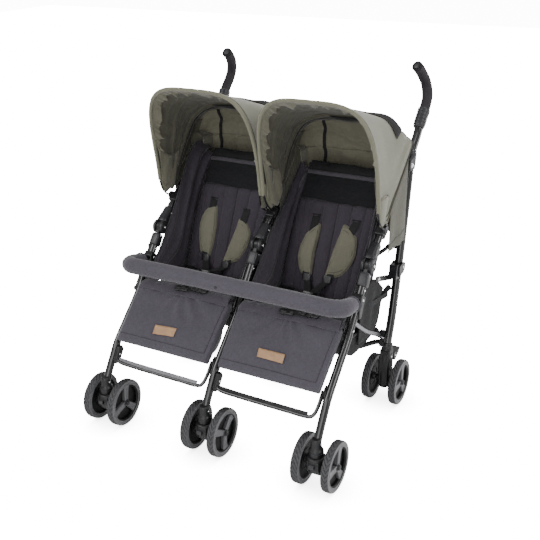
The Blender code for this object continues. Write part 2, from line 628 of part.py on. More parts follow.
# ---------------------------------------------------------------- seats
SEAT_FRONT, SEAT_BACK = (0.173, 0.384), (0.350, 0.334)
WING_TOP = [(0.205, 0.408), (0.245, 0.447), (0.298, 0.500), (0.385, 0.556), (0.452, 0.606)]
BASE_T, WING_T = 0.018, 0.003
for sx, s in ((-1, "left"), (1, "right")):
    c = sx * BAY_X
    outer, inner = [], []
    for k in range(5):
        t = k / 4
        by, bz = lerp(SEAT_FRONT, SEAT_BACK, t)
        wy, wz = WING_TOP[k]
        row_o, row_i = [], []
        # left wing top, left wing foot, base, right wing foot, right wing top
        for sgn in (-1, 1):
            sec_o = [(c + sgn * 0.1480, wy, wz), (c + sgn * 0.1480, (wy + by) / 2, (wz + bz) / 2),
                     (c + sgn * 0.1445, by, bz - BASE_T), (c + sgn * 0.060, by, bz - BASE_T)]
            sec_i = [(c + sgn * (0.1480 - WING_T), wy, wz), (c + sgn * (0.1480 - WING_T), (wy + by) / 2, (wz + bz) / 2),
                     (c + sgn * (0.1445 - WING_T), by, bz), (c + sgn * 0.060, by, bz)]
            if sgn < 0:
                row_o += sec_o
                row_i += sec_i
            else:
                row_o += sec_o[::-1]
                row_i += sec_i[::-1]
        outer.append(row_o)
        inner.append(row_i)
    add("seat_" + s, *sheet_solid(outer, inner), CHARCOAL, "rails")

    # -------- backrest: a padded board hinged at the seat's crease
    lean = math.radians(65.5)
    up = Vector((math.cos(lean), math.sin(lean)))
    nb = Vector((math.sin(lean), -math.cos(lean)))
    root = Vector(CREASE)
    front, rear = [], []
    for dist, hw, crown in ((0.006, 0.138, 0.0), (0.06, 0.140, 0.004), (0.22, 0.138, 0.005), (0.34, 0.126, 0.004),
                            (0.425, 0.116, 0.0)):
        p = root + up * dist
        row_f, row_r = [], []
        for u in (-1.0, -0.55, 0.0, 0.55, 1.0):
            bulge = crown * (1 - u * u)
            f = p - nb * bulge
            r = p + nb * 0.022
            row_f.append((c + u * hw, f.x, f.y))
            row_r.append((c + u * hw, r.x, r.y))
        front.append(row_f)
        rear.append(row_r)
    add("backrest_" + s, *sheet_solid(front, rear), CHARCOAL, "backrest_" + s)

    # -------- legrest: box-shaped padded board hinged under the seat's front edge
    dl = (Vector((0.020, 0.265)) - Vector((0.155, 0.388))).normalized()
    nl = Vector((-dl.y, dl.x))
    if nl.y < 0:
        nl = -nl
    face, under = [], []
    length = (Vector((0.020, 0.265)) - Vector((0.155, 0.388))).length
    for t, hw, rise, thick in ((0.0, 0.1555, -0.003, 0.020), (0.06, 0.1560, 0.0, 0.030), (0.5, 0.1535, 0.003, 0.030),
                               (0.94, 0.1505, 0.0, 0.030), (1.0, 0.1495, -0.004, 0.022)):
        p = Vector((0.155, 0.388)) + dl * (length * t)
        row_f, row_u = [], []
        for u in (-1.0, -0.5, 0.0, 0.5, 1.0):
            f = p + nl * (rise - (0.003 if abs(u) == 1.0 else 0.0))
            q = p - nl * thick
            row_f.append((c + u * hw, f.x, f.y))
            row_u.append((c + u * hw, q.x, q.y))
        face.append(row_f)
        under.append(row_u)
    add("legrest_" + s, *sheet_solid(face, under), HEATHER, "legrest_" + s)

# ---------------------------------------------------------------- basket: an open trough of cloth
sec_out = [(0.214, 0.318), (0.232, 0.268), (0.268, 0.247), (0.350, 0.242), (0.432, 0.247), (0.466, 0.276),
           (0.492, 0.345)]
sec_in = [(0.2175, 0.318), (0.2350, 0.270), (0.2695, 0.2505), (0.350, 0.2455), (0.4300, 0.2505), (0.4625, 0.278),
          (0.4885, 0.345)]
BX, BT = 0.3140, 0.0035
# side walls: the same section closed by flat ends
ring_o = sec_out
outer, inner = [], []
for x in (-BX, BX):
    outer.append([(x, y, z) for y, z in sec_out])
for x in (-(BX - BT), BX - BT):
    inner.append([(x, y, z) for y, z in sec_in])
n = len(sec_out)
dip = [(0.440, 0.302), (0.350, 0.296), (0.262, 0.306)]   # the ends' top edge passes below the seats
verts = outer[0] + outer[1] + inner[0] + inner[1]
faces = []
for k in range(n - 1):
    faces.append((k, k + 1, n + k + 1, n + k))
    faces.append((2 * n + k, 3 * n + k, 3 * n + k + 1, 2 * n + k + 1))
for o, i, x_o, x_i in ((0, 2 * n, -BX, -(BX - BT)), (n, 3 * n, BX, BX - BT)):
    d_o = len(verts)
    verts += [(x_o, y, z) for y, z in dip]
    d_i = len(verts)
    verts += [(x_i, y, z) for y, z in dip]
    edge_o = [o + n - 1] + [d_o + k for k in range(3)] + [o]
    edge_i = [i + n - 1] + [d_i + k for k in range(3)] + [i]
    faces.append(tuple(o + k for k in range(n)) + tuple(edge_o[1:-1]))
    faces.append(tuple(i + k for k in range(n)) + tuple(edge_i[1:-1]))
    for k in range(4):
        faces.append((edge_o[k], edge_o[k + 1], edge_i[k + 1], edge_i[k]))
faces.append((0, n, 3 * n, 2 * n))
faces.append((n - 1, 2 * n - 1, 4 * n - 1, 3 * n - 1))
add("basket", verts, orient(verts, faces), BLACK_FABRIC, "rear_frame")
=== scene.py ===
"""Looks of the side-by-side twin pushchair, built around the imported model.

Points are written in the working frame of the construction: metres, +Z up,
y = 0 at the front axle. place() moves them into the row frame.
"""
import bpy
import bmesh
import json
import math
import numpy as np
from mathutils import Vector, Matrix, noise

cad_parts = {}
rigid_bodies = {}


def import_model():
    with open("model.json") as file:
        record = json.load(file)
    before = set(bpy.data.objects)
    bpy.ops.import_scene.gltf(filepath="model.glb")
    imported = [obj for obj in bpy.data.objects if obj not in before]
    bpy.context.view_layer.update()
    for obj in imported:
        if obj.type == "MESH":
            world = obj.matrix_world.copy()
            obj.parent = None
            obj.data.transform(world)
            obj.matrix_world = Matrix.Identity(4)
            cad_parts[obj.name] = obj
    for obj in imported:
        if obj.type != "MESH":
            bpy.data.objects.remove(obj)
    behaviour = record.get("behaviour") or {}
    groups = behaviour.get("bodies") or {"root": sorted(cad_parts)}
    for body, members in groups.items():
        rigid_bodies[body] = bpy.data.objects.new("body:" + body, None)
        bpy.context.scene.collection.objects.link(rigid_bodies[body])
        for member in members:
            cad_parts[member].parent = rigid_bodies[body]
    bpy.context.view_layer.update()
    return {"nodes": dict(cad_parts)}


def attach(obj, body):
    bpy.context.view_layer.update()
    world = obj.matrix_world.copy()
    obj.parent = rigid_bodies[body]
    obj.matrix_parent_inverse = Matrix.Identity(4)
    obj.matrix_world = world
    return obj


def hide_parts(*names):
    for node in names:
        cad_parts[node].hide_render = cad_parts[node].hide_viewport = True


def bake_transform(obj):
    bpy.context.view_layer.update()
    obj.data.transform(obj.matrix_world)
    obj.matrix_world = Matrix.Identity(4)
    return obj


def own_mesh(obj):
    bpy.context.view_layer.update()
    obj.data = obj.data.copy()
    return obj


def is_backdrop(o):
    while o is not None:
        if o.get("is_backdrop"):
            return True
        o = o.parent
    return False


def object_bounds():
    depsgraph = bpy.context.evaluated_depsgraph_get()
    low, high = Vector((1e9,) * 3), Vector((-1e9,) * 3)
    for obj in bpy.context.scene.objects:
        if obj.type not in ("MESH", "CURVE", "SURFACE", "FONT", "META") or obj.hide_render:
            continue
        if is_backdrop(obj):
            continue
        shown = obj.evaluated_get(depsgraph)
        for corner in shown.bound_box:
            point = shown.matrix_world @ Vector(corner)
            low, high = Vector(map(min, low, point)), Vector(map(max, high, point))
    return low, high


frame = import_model()

YM = 0.33885
FRAME_X, BAY_X = 0.340, 0.170
WHEEL_R, WHEEL_DX, REAR_Y, SWIVEL_Y = 0.070, 0.043, 0.475, -0.022
KNEE, TOP = (0.297, 0.5155), (0.568, 0.724)
LINK, CANOPY, CREASE, CALF = (0.481, 0.205), (0.383, 0.590), (0.360, 0.326), (0.158, 0.381)
CATCH, PEDAL = (0.5415, 0.420), (0.504, 0.140)
R_REAR, R_RAIL, R_LEG, R_GRIP, R_BUMPER = 0.0125, 0.011, 0.011, 0.0155, 0.026
REAR_LINE = [(0.4665, 0.146), (0.481, 0.205), (0.499, 0.255), (0.514, 0.310), (0.535, 0.400),
             (0.5545, 0.485), (0.579, 0.615), (0.600, 0.735)]
LEG_LINE = [(0.2795, 0.4938), (0.231, 0.4338), (0.165, 0.352), (0.105, 0.294), (0.050, 0.242),
            (0.020, 0.200), (-0.003, 0.165), (-0.018, 0.138)]
SIDES = ((-FRAME_X, "left"), (0.0, "centre"), (FRAME_X, "right"))
BAYS = ((-1, "left"), (1, "right"))


# ================================================================= camera, light, floor
cam_data = bpy.data.cameras.new("camera")
cam = bpy.data.objects.new("camera", cam_data)
bpy.context.scene.collection.objects.link(cam)
C = Vector((1.09616, -1.63776 - YM, 1.39643))
R, U, F = Vector((0.880281, 0.474235, -0.014392)), Vector((-0.176521, 0.355515, 0.917850)), Vector((-0.440394, 0.805425, -0.396665))
m = Matrix.Identity(4)
for i in range(3):
    m[i][0], m[i][1], m[i][2], m[i][3] = R[i], U[i], -F[i], C[i]
cam.matrix_world = m
cam_data.sensor_width = 36.0
cam_data.lens = 55.492
cam_data.clip_start, cam_data.clip_end = 0.05, 60.0
bpy.context.scene.camera = cam

world = bpy.data.worlds.new("studio")
bpy.context.scene.world = world
world.use_nodes = True
wnt = world.node_tree
wbg = wnt.nodes["Background"]
wbg.inputs[0].default_value = (1.0, 1.0, 1.0, 1.0)
wbg.inputs[1].default_value = 0.55
sweep = wnt.nodes.new("ShaderNodeBackground")
sweep.inputs[1].default_value = 16.5
wpath, wmix = wnt.nodes.new("ShaderNodeLightPath"), wnt.nodes.new("ShaderNodeMixShader")
wnt.links.new(wpath.outputs["Is Camera Ray"], wmix.inputs[0])
wnt.links.new(wbg.outputs[0], wmix.inputs[1])
wnt.links.new(sweep.outputs[0], wmix.inputs[2])
wnt.links.new(wmix.outputs[0], wnt.nodes["World Output"].inputs["Surface"])


def area_light(name, loc, target, size, power, colour=(1, 1, 1), size_y=None):
    d = bpy.data.lights.new(name, 'AREA')
    d.energy = power
    d.color = colour
    d.shape = 'RECTANGLE'
    d.size, d.size_y = size, size_y or size
    o = bpy.data.objects.new(name, d)
    bpy.context.scene.collection.objects.link(o)
    o.location = loc
    o.rotation_mode = 'QUATERNION'
    o.rotation_quaternion = (Vector(target) - Vector(loc)).to_track_quat('-Z', 'Y')
    return o


area_light("key_light", (-1.6, -2.4, 3.0), (0, 0, 0.5), 2.0, 85)
area_light("right_light", (3.2, -0.6, 2.2), (0, 0, 0.5), 1.2, 66, size_y=2.6)
area_light("rim_light", (2.7, 2.3, 0.9), (0, 0.1, 0.5), 0.7, 48, size_y=2.2)
area_light("top_light", (0.3, 0.9, 3.4), (0, 0, 0.6), 2.2, 60)
area_light("front_light", (0.7, -3.0, 1.25), (0, 0, 0.6), 2.4, 62)


# ================================================================= materials
def new_mat(name):
    mat = bpy.data.materials.new(name)
    mat.use_nodes = True
    nt = mat.node_tree
    bsdf = nt.nodes["Principled BSDF"]
    return mat, nt, bsdf


def coords(nt, kind, scale=(1, 1, 1)):
    tc = nt.nodes.new("ShaderNodeTexCoord")
    mp = nt.nodes.new("ShaderNodeMapping")
    mp.inputs["Scale"].default_value = scale
    nt.links.new(tc.outputs[kind], mp.inputs["Vector"])
    return mp.outputs["Vector"]


def noise_tex(nt, vec, scale, detail=2.0, rough=0.5, distortion=0.0):
    n = nt.nodes.new("ShaderNodeTexNoise")
    n.inputs["Scale"].default_value = scale
    n.inputs["Detail"].default_value = detail
    n.inputs["Roughness"].default_value = rough
    n.inputs["Distortion"].default_value = distortion
    nt.links.new(vec, n.inputs["Vector"])
    return n.outputs["Fac"]


def wave_tex(nt, vec, period, direction='X', distortion=0.0, detail=0.0):
    n = nt.nodes.new("ShaderNodeTexWave")
    n.wave_type = 'BANDS'
    n.bands_direction = direction
    n.inputs["Scale"].default_value = 2 * math.pi / (20.0 * period)
    n.inputs["Distortion"].default_value = distortion
    n.inputs["Detail"].default_value = detail
    nt.links.new(vec, n.inputs["Vector"])
    return n.outputs["Fac"]


def math_node(nt, op, a, b=None, clamp=False):
    n = nt.nodes.new("ShaderNodeMath")
    n.operation = op
    n.use_clamp = clamp
    for i, v in enumerate((a, b)):
        if v is None:
            continue
        if isinstance(v, (int, float)):
            n.inputs[i].default_value = v
        else:
            nt.links.new(v, n.inputs[i])
    return n.outputs[0]


def remap(nt, v, lo, hi, to_lo, to_hi):
    n = nt.nodes.new("ShaderNodeMapRange")
    for k, x in zip((1, 2, 3, 4), (lo, hi, to_lo, to_hi)):
        n.inputs[k].default_value = x
    nt.links.new(v, n.inputs[0])
    return n.outputs[0]


def mix_colour(nt, fac, a, b, mode='MIX'):
    n = nt.nodes.new("ShaderNodeMix")
    n.data_type = 'RGBA'
    n.blend_type = mode
    ins = [s for s in n.inputs if s.enabled]
    f, sa, sb = n.inputs[0], n.inputs[6], n.inputs[7]
    for s, v in ((f, fac), (sa, a), (sb, b)):
        if isinstance(v, (int, float)):
            s.default_value = v
        elif isinstance(v, tuple):
            s.default_value = (*v, 1.0) if len(v) == 3 else v
        else:
            nt.links.new(v, s)
    return n.outputs[2]


def bump(nt, bsdf, height, strength, distance, after=None):
    b = nt.nodes.new("ShaderNodeBump")
    b.inputs["Strength"].default_value = strength
    b.inputs["Distance"].default_value = distance
    nt.links.new(height, b.inputs["Height"])
    if after is not None:
        nt.links.new(after, b.inputs["Normal"])
    nt.links.new(b.outputs["Normal"], bsdf.inputs["Normal"])
    return b.outputs["Normal"]


def cloth(name, dark, light, uv=True, period=0.0011, rough=0.9, sheen=0.25, yarn=0.5, patch=0.12, weave=0.35, twill=False,
          crease=0.0):
    """Woven cloth: yarns of two shades, a weave in the bump, uneven shade over the panel."""
    mat, nt, bsdf = new_mat(name)
    kind = "UV" if uv else "Object"
    vec = coords(nt, kind)
    # yarns: noise stretched along both directions
    if uv:
        warp = noise_tex(nt, coords(nt, kind, (900, 70, 1)), 1.0, 2.0)
        weft = noise_tex(nt, coords(nt, kind, (70, 900, 1)), 1.0, 2.0)
    else:
        warp = noise_tex(nt, coords(nt, kind, (900, 900, 90)), 1.0, 2.0)
        weft = noise_tex(nt, coords(nt, kind, (90, 700, 900)), 1.0, 2.0)
    fibres = math_node(nt, 'ADD', math_node(nt, 'MULTIPLY', warp, 0.5), math_node(nt, 'MULTIPLY', weft, 0.5))
    fac = remap(nt, fibres, 0.5 - 0.25 / max(yarn, 0.05) * 0.5, 0.5 + 0.25 / max(yarn, 0.05) * 0.5, 0.0, 1.0)
    col = mix_colour(nt, fac, dark, light)
    shade = noise_tex(nt, coords(nt, "Object", (9, 9, 9)), 1.0, 3.0, 0.6)
    col = mix_colour(nt, 1.0, col, mix_colour(nt, remap(nt, shade, 0.3, 0.7, 0.0, 1.0),
                                              (1 - patch,) * 3, (1 + patch,) * 3), 'MULTIPLY')
    nt.links.new(col, bsdf.inputs["Base Color"])
    nt.links.new(remap(nt, fibres, 0.3, 0.7, rough - 0.06, min(1.0, rough + 0.06)), bsdf.inputs["Roughness"])
    if uv:
        a, b = wave_tex(nt, vec, period, 'X'), wave_tex(nt, vec, period, 'DIAGONAL' if twill else 'Y')
    else:
        a, b = wave_tex(nt, vec, period, 'X'), wave_tex(nt, vec, period, 'DIAGONAL' if twill else 'Z')
    h = math_node(nt, 'ADD', math_node(nt, 'MULTIPLY', a, b), math_node(nt, 'MULTIPLY', fibres, 0.7))
    n1 = bump(nt, bsdf, h, weave, 0.0004)
    if crease > 0:
        soft = noise_tex(nt, coords(nt, "Object", (14, 14, 14)), 1.0, 3.0, 0.55, 0.6)
        bump(nt, bsdf, soft, crease, 0.004, after=n1)
    bsdf.inputs["Sheen Weight"].default_value = sheen
    bsdf.inputs["Sheen Roughness"].default_value = 0.45
    bsdf.inputs["Specular IOR Level"].default_value = 0.25
    return mat


def plastic(name, colour, rough=0.45, grain=0.12, spec=0.5, speck=0.15):
    mat, nt, bsdf = new_mat(name)
    vec = coords(nt, "Object")
    fine = noise_tex(nt, vec, 900.0, 2.0)
    broad = noise_tex(nt, vec, 22.0, 3.0, 0.6)
    lo = tuple(c * (1 - speck) for c in colour)
    hi = tuple(c * (1 + speck) for c in colour)
    nt.links.new(mix_colour(nt, remap(nt, broad, 0.35, 0.65, 0, 1), lo, hi), bsdf.inputs["Base Color"])
    nt.links.new(remap(nt, broad, 0.3, 0.7, rough - 0.05, rough + 0.07), bsdf.inputs["Roughness"])
    bump(nt, bsdf, fine, grain, 0.0002)
    bsdf.inputs["Specular IOR Level"].default_value = spec
    return mat


def paint(name, colour, rough=0.22, coat=0.5, metallic=0.0):
    """Gloss lacquer on a metal tube, with a faint orange peel and handling marks."""
    mat, nt, bsdf = new_mat(name)
    vec = coords(nt, "Object")
    peel = noise_tex(nt, vec, 260.0, 2.0)
    rub = noise_tex(nt, coords(nt, "Object", (30, 30, 6)), 1.0, 4.0, 0.6)
    nt.links.new(mix_colour(nt, remap(nt, rub, 0.4, 0.75, 0, 1), colour, tuple(c * 1.5 + 0.004 for c in colour)),
                 bsdf.inputs["Base Color"])
    nt.links.new(remap(nt, rub, 0.3, 0.75, rough, rough + 0.12), bsdf.inputs["Roughness"])
    bump(nt, bsdf, peel, 0.05, 0.0003)
    bsdf.inputs["Metallic"].default_value = metallic
    bsdf.inputs["Coat Weight"].default_value = coat
    bsdf.inputs["Coat Roughness"].default_value = 0.12
    return mat


def bare_metal(name, colour, rough=0.28):
    mat, nt, bsdf = new_mat(name)
    vec = coords(nt, "Object", (300, 300, 40))
    scratch = noise_tex(nt, vec, 1.0, 3.0, 0.6)
    nt.links.new(mix_colour(nt, scratch, tuple(c * 0.85 for c in colour), colour), bsdf.inputs["Base Color"])
    nt.links.new(remap(nt, scratch, 0.3, 0.7, rough - 0.06, rough + 0.1), bsdf.inputs["Roughness"])
    bump(nt, bsdf, scratch, 0.08, 0.0002)
    bsdf.inputs["Metallic"].default_value = 1.0
    return mat


def tyre_mat(name):
    mat, nt, bsdf = new_mat(name)
    vec = coords(nt, "Object")
    speck = noise_tex(nt, vec, 420.0, 2.0, 0.7)
    mott = noise_tex(nt, vec, 60.0, 4.0, 0.6)
    base = mix_colour(nt, remap(nt, mott, 0.35, 0.65, 0, 1), (0.021, 0.021, 0.023), (0.037, 0.037, 0.040))
    col = mix_colour(nt, remap(nt, speck, 0.60, 0.72, 0.0, 0.7), base, (0.10, 0.10, 0.105))
    parts = nt.nodes.new("ShaderNodeSeparateXYZ")
    nt.links.new(vec, parts.inputs[0])
    # painted shade: the floors of the tread's grooves are darkened, found from the radius with the crown's fall-off
    # taken out
    across = math_node(nt, 'POWER', math_node(nt, 'MULTIPLY', math_node(nt, 'ABSOLUTE', parts.outputs[0]), 1 / 0.0110), 4.0)
    rr = math_node(nt, 'SQRT', math_node(nt, 'ADD', math_node(nt, 'POWER', math_node(nt, 'ABSOLUTE', parts.outputs[1]), 2.0), math_node(nt, 'POWER', math_node(nt, 'ABSOLUTE', parts.outputs[2]), 2.0)))
    crown = math_node(nt, 'ADD', rr, math_node(nt, 'MULTIPLY', across, 0.0022))
    col = mix_colour(nt, remap(nt, crown, 0.0684, 0.0696, 1.0, 0.0), col, (0.0120, 0.0120, 0.0128))
    nt.links.new(col, bsdf.inputs["Base Color"])
    nt.links.new(remap(nt, mott, 0.3, 0.7, 0.55, 0.75), bsdf.inputs["Roughness"])
    bump(nt, bsdf, math_node(nt, 'ADD', speck, mott), 0.3, 0.0006)
    bsdf.inputs["Specular IOR Level"].default_value = 0.45
    return mat


def mesh_cloth(name, dark, light, cell=0.0028):
    """Open knitted spacer mesh: rows of small round holes."""
    mat, nt, bsdf = new_mat(name)
    vec = coords(nt, "UV")
    v = nt.nodes.new("ShaderNodeTexVoronoi")
    v.inputs["Scale"].default_value = 1.0 / cell
    v.inputs["Randomness"].default_value = 0.15
    nt.links.new(vec, v.inputs["Vector"])
    d = remap(nt, v.outputs["Distance"], 0.25, 0.55, 0.0, 1.0)
    nt.links.new(mix_colour(nt, d, dark, light), bsdf.inputs["Base Color"])
    bump(nt, bsdf, d, 0.6, 0.0008)
    bsdf.inputs["Roughness"].default_value = 0.9
    bsdf.inputs["Sheen Weight"].default_value = 0.05
    bsdf.inputs["Specular IOR Level"].default_value = 0.15
    return mat


def webbing(name, colour, light):
    """Ribbed polyester webbing: fine ribs across, a herringbone along."""
    mat, nt, bsdf = new_mat(name)
    vec = coords(nt, "UV")
    ribs = wave_tex(nt, vec, 0.0016, 'X', 0.3)
    cross = wave_tex(nt, vec, 0.0011, 'Y')
    h = math_node(nt, 'ADD', ribs, math_node(nt, 'MULTIPLY', cross, 0.5))
    nt.links.new(mix_colour(nt, remap(nt, h, 0.2, 1.3, 0, 1), colour, light), bsdf.inputs["Base Color"])
    bump(nt, bsdf, h, 0.4, 0.0005)
    bsdf.inputs["Roughness"].default_value = 0.75
    bsdf.inputs["Sheen Weight"].default_value = 0.05
    bsdf.inputs["Specular IOR Level"].default_value = 0.25
    return mat


def leather(name):
    mat, nt, bsdf = new_mat(name)
    vec = coords(nt, "Object")
    v = nt.nodes.new("ShaderNodeTexVoronoi")
    v.inputs["Scale"].default_value = 900.0
    nt.links.new(vec, v.inputs["Vector"])
    grain = v.outputs["Distance"]
    blot = noise_tex(nt, vec, 60.0, 4.0, 0.6)
    nt.links.new(mix_colour(nt, remap(nt, blot, 0.3, 0.7, 0, 1), (0.215, 0.120, 0.060), (0.320, 0.190, 0.098)),
                 bsdf.inputs["Base Color"])
    nt.links.new(remap(nt, blot, 0.3, 0.7, 0.5, 0.68), bsdf.inputs["Roughness"])
    bump(nt, bsdf, math_node(nt, 'ADD', grain, math_node(nt, 'MULTIPLY', blot, 0.6)), 0.35, 0.0004)
    return mat


def foam(name):
    mat, nt, bsdf = new_mat(name)
    vec = coords(nt, "Object")
    pores = noise_tex(nt, vec, 700.0, 3.0, 0.7)
    broad = noise_tex(nt, vec, 30.0, 3.0)
    nt.links.new(mix_colour(nt, remap(nt, broad, 0.35, 0.65, 0, 1), (0.0100, 0.0080, 0.0100), (0.0195, 0.0165, 0.0195)),
                 bsdf.inputs["Base Color"])
    nt.links.new(remap(nt, broad, 0.3, 0.7, 0.62, 0.8), bsdf.inputs["Roughness"])
    bump(nt, bsdf, pores, 0.35, 0.0005)
    bsdf.inputs["Specular IOR Level"].default_value = 0.25
    return mat


KHAKI = cloth("khaki_cloth", (0.090, 0.089, 0.059), (0.143, 0.141, 0.099), uv=True, rough=0.82, sheen=0.35, patch=0.06,
              yarn=0.4, crease=0.10)
# the canopy khaki a little darkened as painted shade, for the hem, tip pockets and rear panel inside the canopy
KHAKI_HALF_SHADE = cloth("khaki_half_shade_cloth", (0.086, 0.083, 0.058), (0.136, 0.131, 0.097), uv=True, rough=0.85, sheen=0.25, patch=0.08,
                  yarn=0.4, crease=0.15)
# the canopy khaki darkened as painted shade, for the inside of the canopy and its skirts
KHAKI_SHADED = cloth("khaki_painted_shade", (0.050, 0.049, 0.035), (0.080, 0.078, 0.057), uv=True, rough=0.85, sheen=0.15, patch=0.10,
                 yarn=0.4, crease=0.22)
KHAKI_3D = cloth("khaki_pad_cloth", (0.088, 0.086, 0.062), (0.136, 0.132, 0.098), uv=False, rough=0.85, sheen=0.25,
                 patch=0.05, yarn=0.4)
KHAKI_EDGE = cloth("khaki_binding", (0.060, 0.058, 0.043), (0.095, 0.092, 0.070), uv=True, rough=0.8, sheen=0.2, patch=0.05)
OLIVE_BAND = cloth("dark_olive_binding", (0.018, 0.0175, 0.0135), (0.034, 0.033, 0.026), uv=True, rough=0.85, patch=0.1)
CHARCOAL = cloth("charcoal_cloth", (0.0185, 0.0150, 0.0205), (0.045, 0.038, 0.050), uv=True, rough=0.9, sheen=0.12,
                 twill=True, yarn=0.5, patch=0.08, crease=0.10)
CHARCOAL_DARK = cloth("dark_side_cloth", (0.010, 0.009, 0.011), (0.022, 0.0195, 0.024), uv=True, rough=0.85, sheen=0.2,
                      patch=0.12, crease=0.2)
HEATHER = cloth("grey_heather_cloth", (0.031, 0.028, 0.0355), (0.066, 0.060, 0.074), uv=True, rough=0.95, sheen=0.2,
                yarn=0.5, patch=0.05, twill=True)
HEATHER_3D = cloth("grey_heather_pad", (0.031, 0.028, 0.0355), (0.066, 0.060, 0.074), uv=False, rough=0.95, sheen=0.2,
                   yarn=0.5, patch=0.07, twill=True)
SEAM = cloth("seam_thread", (0.011, 0.010, 0.012), (0.020, 0.019, 0.022), uv=False, rough=0.8, patch=0.05)
BLACK_CLOTH = cloth("black_cloth", (0.0045, 0.0045, 0.005), (0.010, 0.010, 0.0115), uv=True, rough=0.85, sheen=0.04,
                    patch=0.12, crease=0.15)
MESH = mesh_cloth("black_spacer_mesh", (0.003, 0.003, 0.004), (0.016, 0.016, 0.018))
GREY_BIND = cloth("grey_binding", (0.030, 0.027, 0.033), (0.058, 0.053, 0.062), uv=True, rough=0.9, sheen=0.2)
WEB = webbing("black_webbing", (0.0035, 0.0035, 0.004), (0.010, 0.010, 0.011))
TAN = leather("tan_leather")
THREAD = cloth("pale_thread", (0.30, 0.22, 0.13), (0.42, 0.32, 0.20), uv=False, rough=0.7, patch=0.05)
KHAKI_THREAD = cloth("khaki_thread", (0.12, 0.115, 0.08), (0.17, 0.165, 0.12), uv=False, rough=0.7, patch=0.05)
PAINT = paint("black_gloss_paint", (0.003, 0.003, 0.0035), rough=0.20, coat=0.25)
STEEL = bare_metal("brushed_steel", (0.30, 0.30, 0.32), 0.34)
RIVET = bare_metal("bright_rivet", (0.82, 0.82, 0.84), 0.22)
PLASTIC = plastic("black_plastic", (0.0065, 0.0065, 0.0075), 0.40, spec=0.32)
SATIN = plastic("satin_black_plastic", (0.008, 0.008, 0.0095), 0.32, grain=0.06, spec=0.38)
GREY = plastic("grey_plastic", (0.0125, 0.0125, 0.0145), 0.40, spec=0.38)
DARK_GREY = plastic("dark_grey_plastic", (0.013, 0.013, 0.015), 0.38, spec=0.36)
TYRE = tyre_mat("speckled_tyre")
RIM = plastic("rim_plastic", (0.016, 0.016, 0.018), 0.36, grain=0.05, spec=0.4)
FOAM = foam("foam_grip_skin")


# ================================================================= mesh helpers
def place(p):
    return Vector((p[0], p[1] - YM, p[2]))


def lerp(a, b, t):
    return tuple(x + (y - x) * t for x, y in zip(a, b))


def smoothstep(t):
    t = min(1.0, max(0.0, t))
    return t * t * (3 - 2 * t)


def spline(points, per=6):
    """A smooth line through the points (Catmull-Rom)."""
    p = [Vector(q) for q in points]
    p = [p[0] * 2 - p[1]] + p + [p[-1] * 2 - p[-2]]
    out = []
    for i in range(1, len(p) - 2):
        for k in range(per):
            t = k / per
            a, b, c, d = p[i - 1], p[i], p[i + 1], p[i + 2]
            out.append(0.5 * ((2 * b) + (c - a) * t + (2 * a - 5 * b + 4 * c - d) * t * t + (3 * b - a - 3 * c + d) * t ** 3))
    out.append(p[-2].copy())
    return out


def side_line(x, pts):
    return [(x, y, z) for y, z in pts]


def finish_mesh(name, verts, faces, mats, body=None, uvs=None, angle=40.0, index=None, stands=(), slot=None, closed=False):
    me = bpy.data.meshes.new(name)
    me.from_pydata([place(v) for v in verts], [], faces)
    if uvs is not None:
        layer = me.uv_layers.new(name="UVMap")
        layer.data.foreach_set("uv", [c for uv in uvs for c in uv])
    for mt in (mats if isinstance(mats, (list, tuple)) else [mats]):
        me.materials.append(mt)
    if index is not None:
        me.polygons.foreach_set("material_index", index)
    if closed:
        bm = bmesh.new()
        bm.from_mesh(me)
        bmesh.ops.recalc_face_normals(bm, faces=bm.faces)
        bm.to_mesh(me)
        bm.free()
    me.update()
    me.shade_smooth()
    me.set_sharp_from_angle(angle=math.radians(angle))
    ob = bpy.data.objects.new(name, me)
    bpy.context.scene.collection.objects.link(ob)
    if body:
        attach(ob, body)
    if stands:
        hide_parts(*stands)
    return ob


def grid_data(rows, wrap=False, caps=False):
    """Faces and UVs in metres for rows of points; wrap closes each row into a ring."""
    rows = [[Vector(p) for p in r] for r in rows]
    nr, nc = len(rows), len(rows[0])
    ncol = nc + 1 if wrap else nc
    ucoord = [0.0] * ncol
    for j in range(1, ncol):
        ucoord[j] = ucoord[j - 1] + sum((rows[i][j % nc] - rows[i][j - 1]).length for i in range(nr)) / nr
    vcoord = [0.0] * nr
    for i in range(1, nr):
        vcoord[i] = vcoord[i - 1] + sum((rows[i][j] - rows[i - 1][j]).length for j in range(nc)) / nc
    verts = [p for r in rows for p in r]
    faces, uvs = [], []
    for i in range(nr - 1):
        for j in range(ncol - 1):
            j2 = (j + 1) % nc
            faces.append((i * nc + j, i * nc + j2, (i + 1) * nc + j2, (i + 1) * nc + j))
            uvs += [(ucoord[j], vcoord[i]), (ucoord[j + 1], vcoord[i]), (ucoord[j + 1], vcoord[i + 1]), (ucoord[j], vcoord[i + 1])]
    if caps:
        r = ucoord[-1] / (2 * math.pi)
        for base, seq in ((0, list(reversed(range(nc)))), ((nr - 1) * nc, list(range(nc)))):
            faces.append(tuple(base + k for k in seq))
            uvs += [(r * math.cos(2 * math.pi * k / nc), r * math.sin(2 * math.pi * k / nc)) for k in seq]
    return verts, faces, uvs, (ucoord[-1], vcoord[-1])


def surface(name, rows, mat, body=None, wrap=False, caps=False, thick=0.0, side=1.0, inner=None, **k):
    """A sheet through rows of points. thick adds a second face behind (side says which way)."""
    verts, faces, uvs, size = grid_data(rows, wrap, caps)
    mats = [mat] if inner is None else [mat, inner, mat]
    ob = finish_mesh(name, verts, faces, mats, None, uvs, closed=(wrap and caps), **k)
    if thick:
        sm = ob.modifiers.new("thickness", 'SOLIDIFY')
        sm.thickness = thick
        sm.offset = -side
        sm.use_even_offset = False
        if inner is not None:
            sm.material_offset = 1
            sm.material_offset_rim = 2
    if body:
        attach(ob, body)
    ob["size_u"], ob["size_v"] = size
    return ob


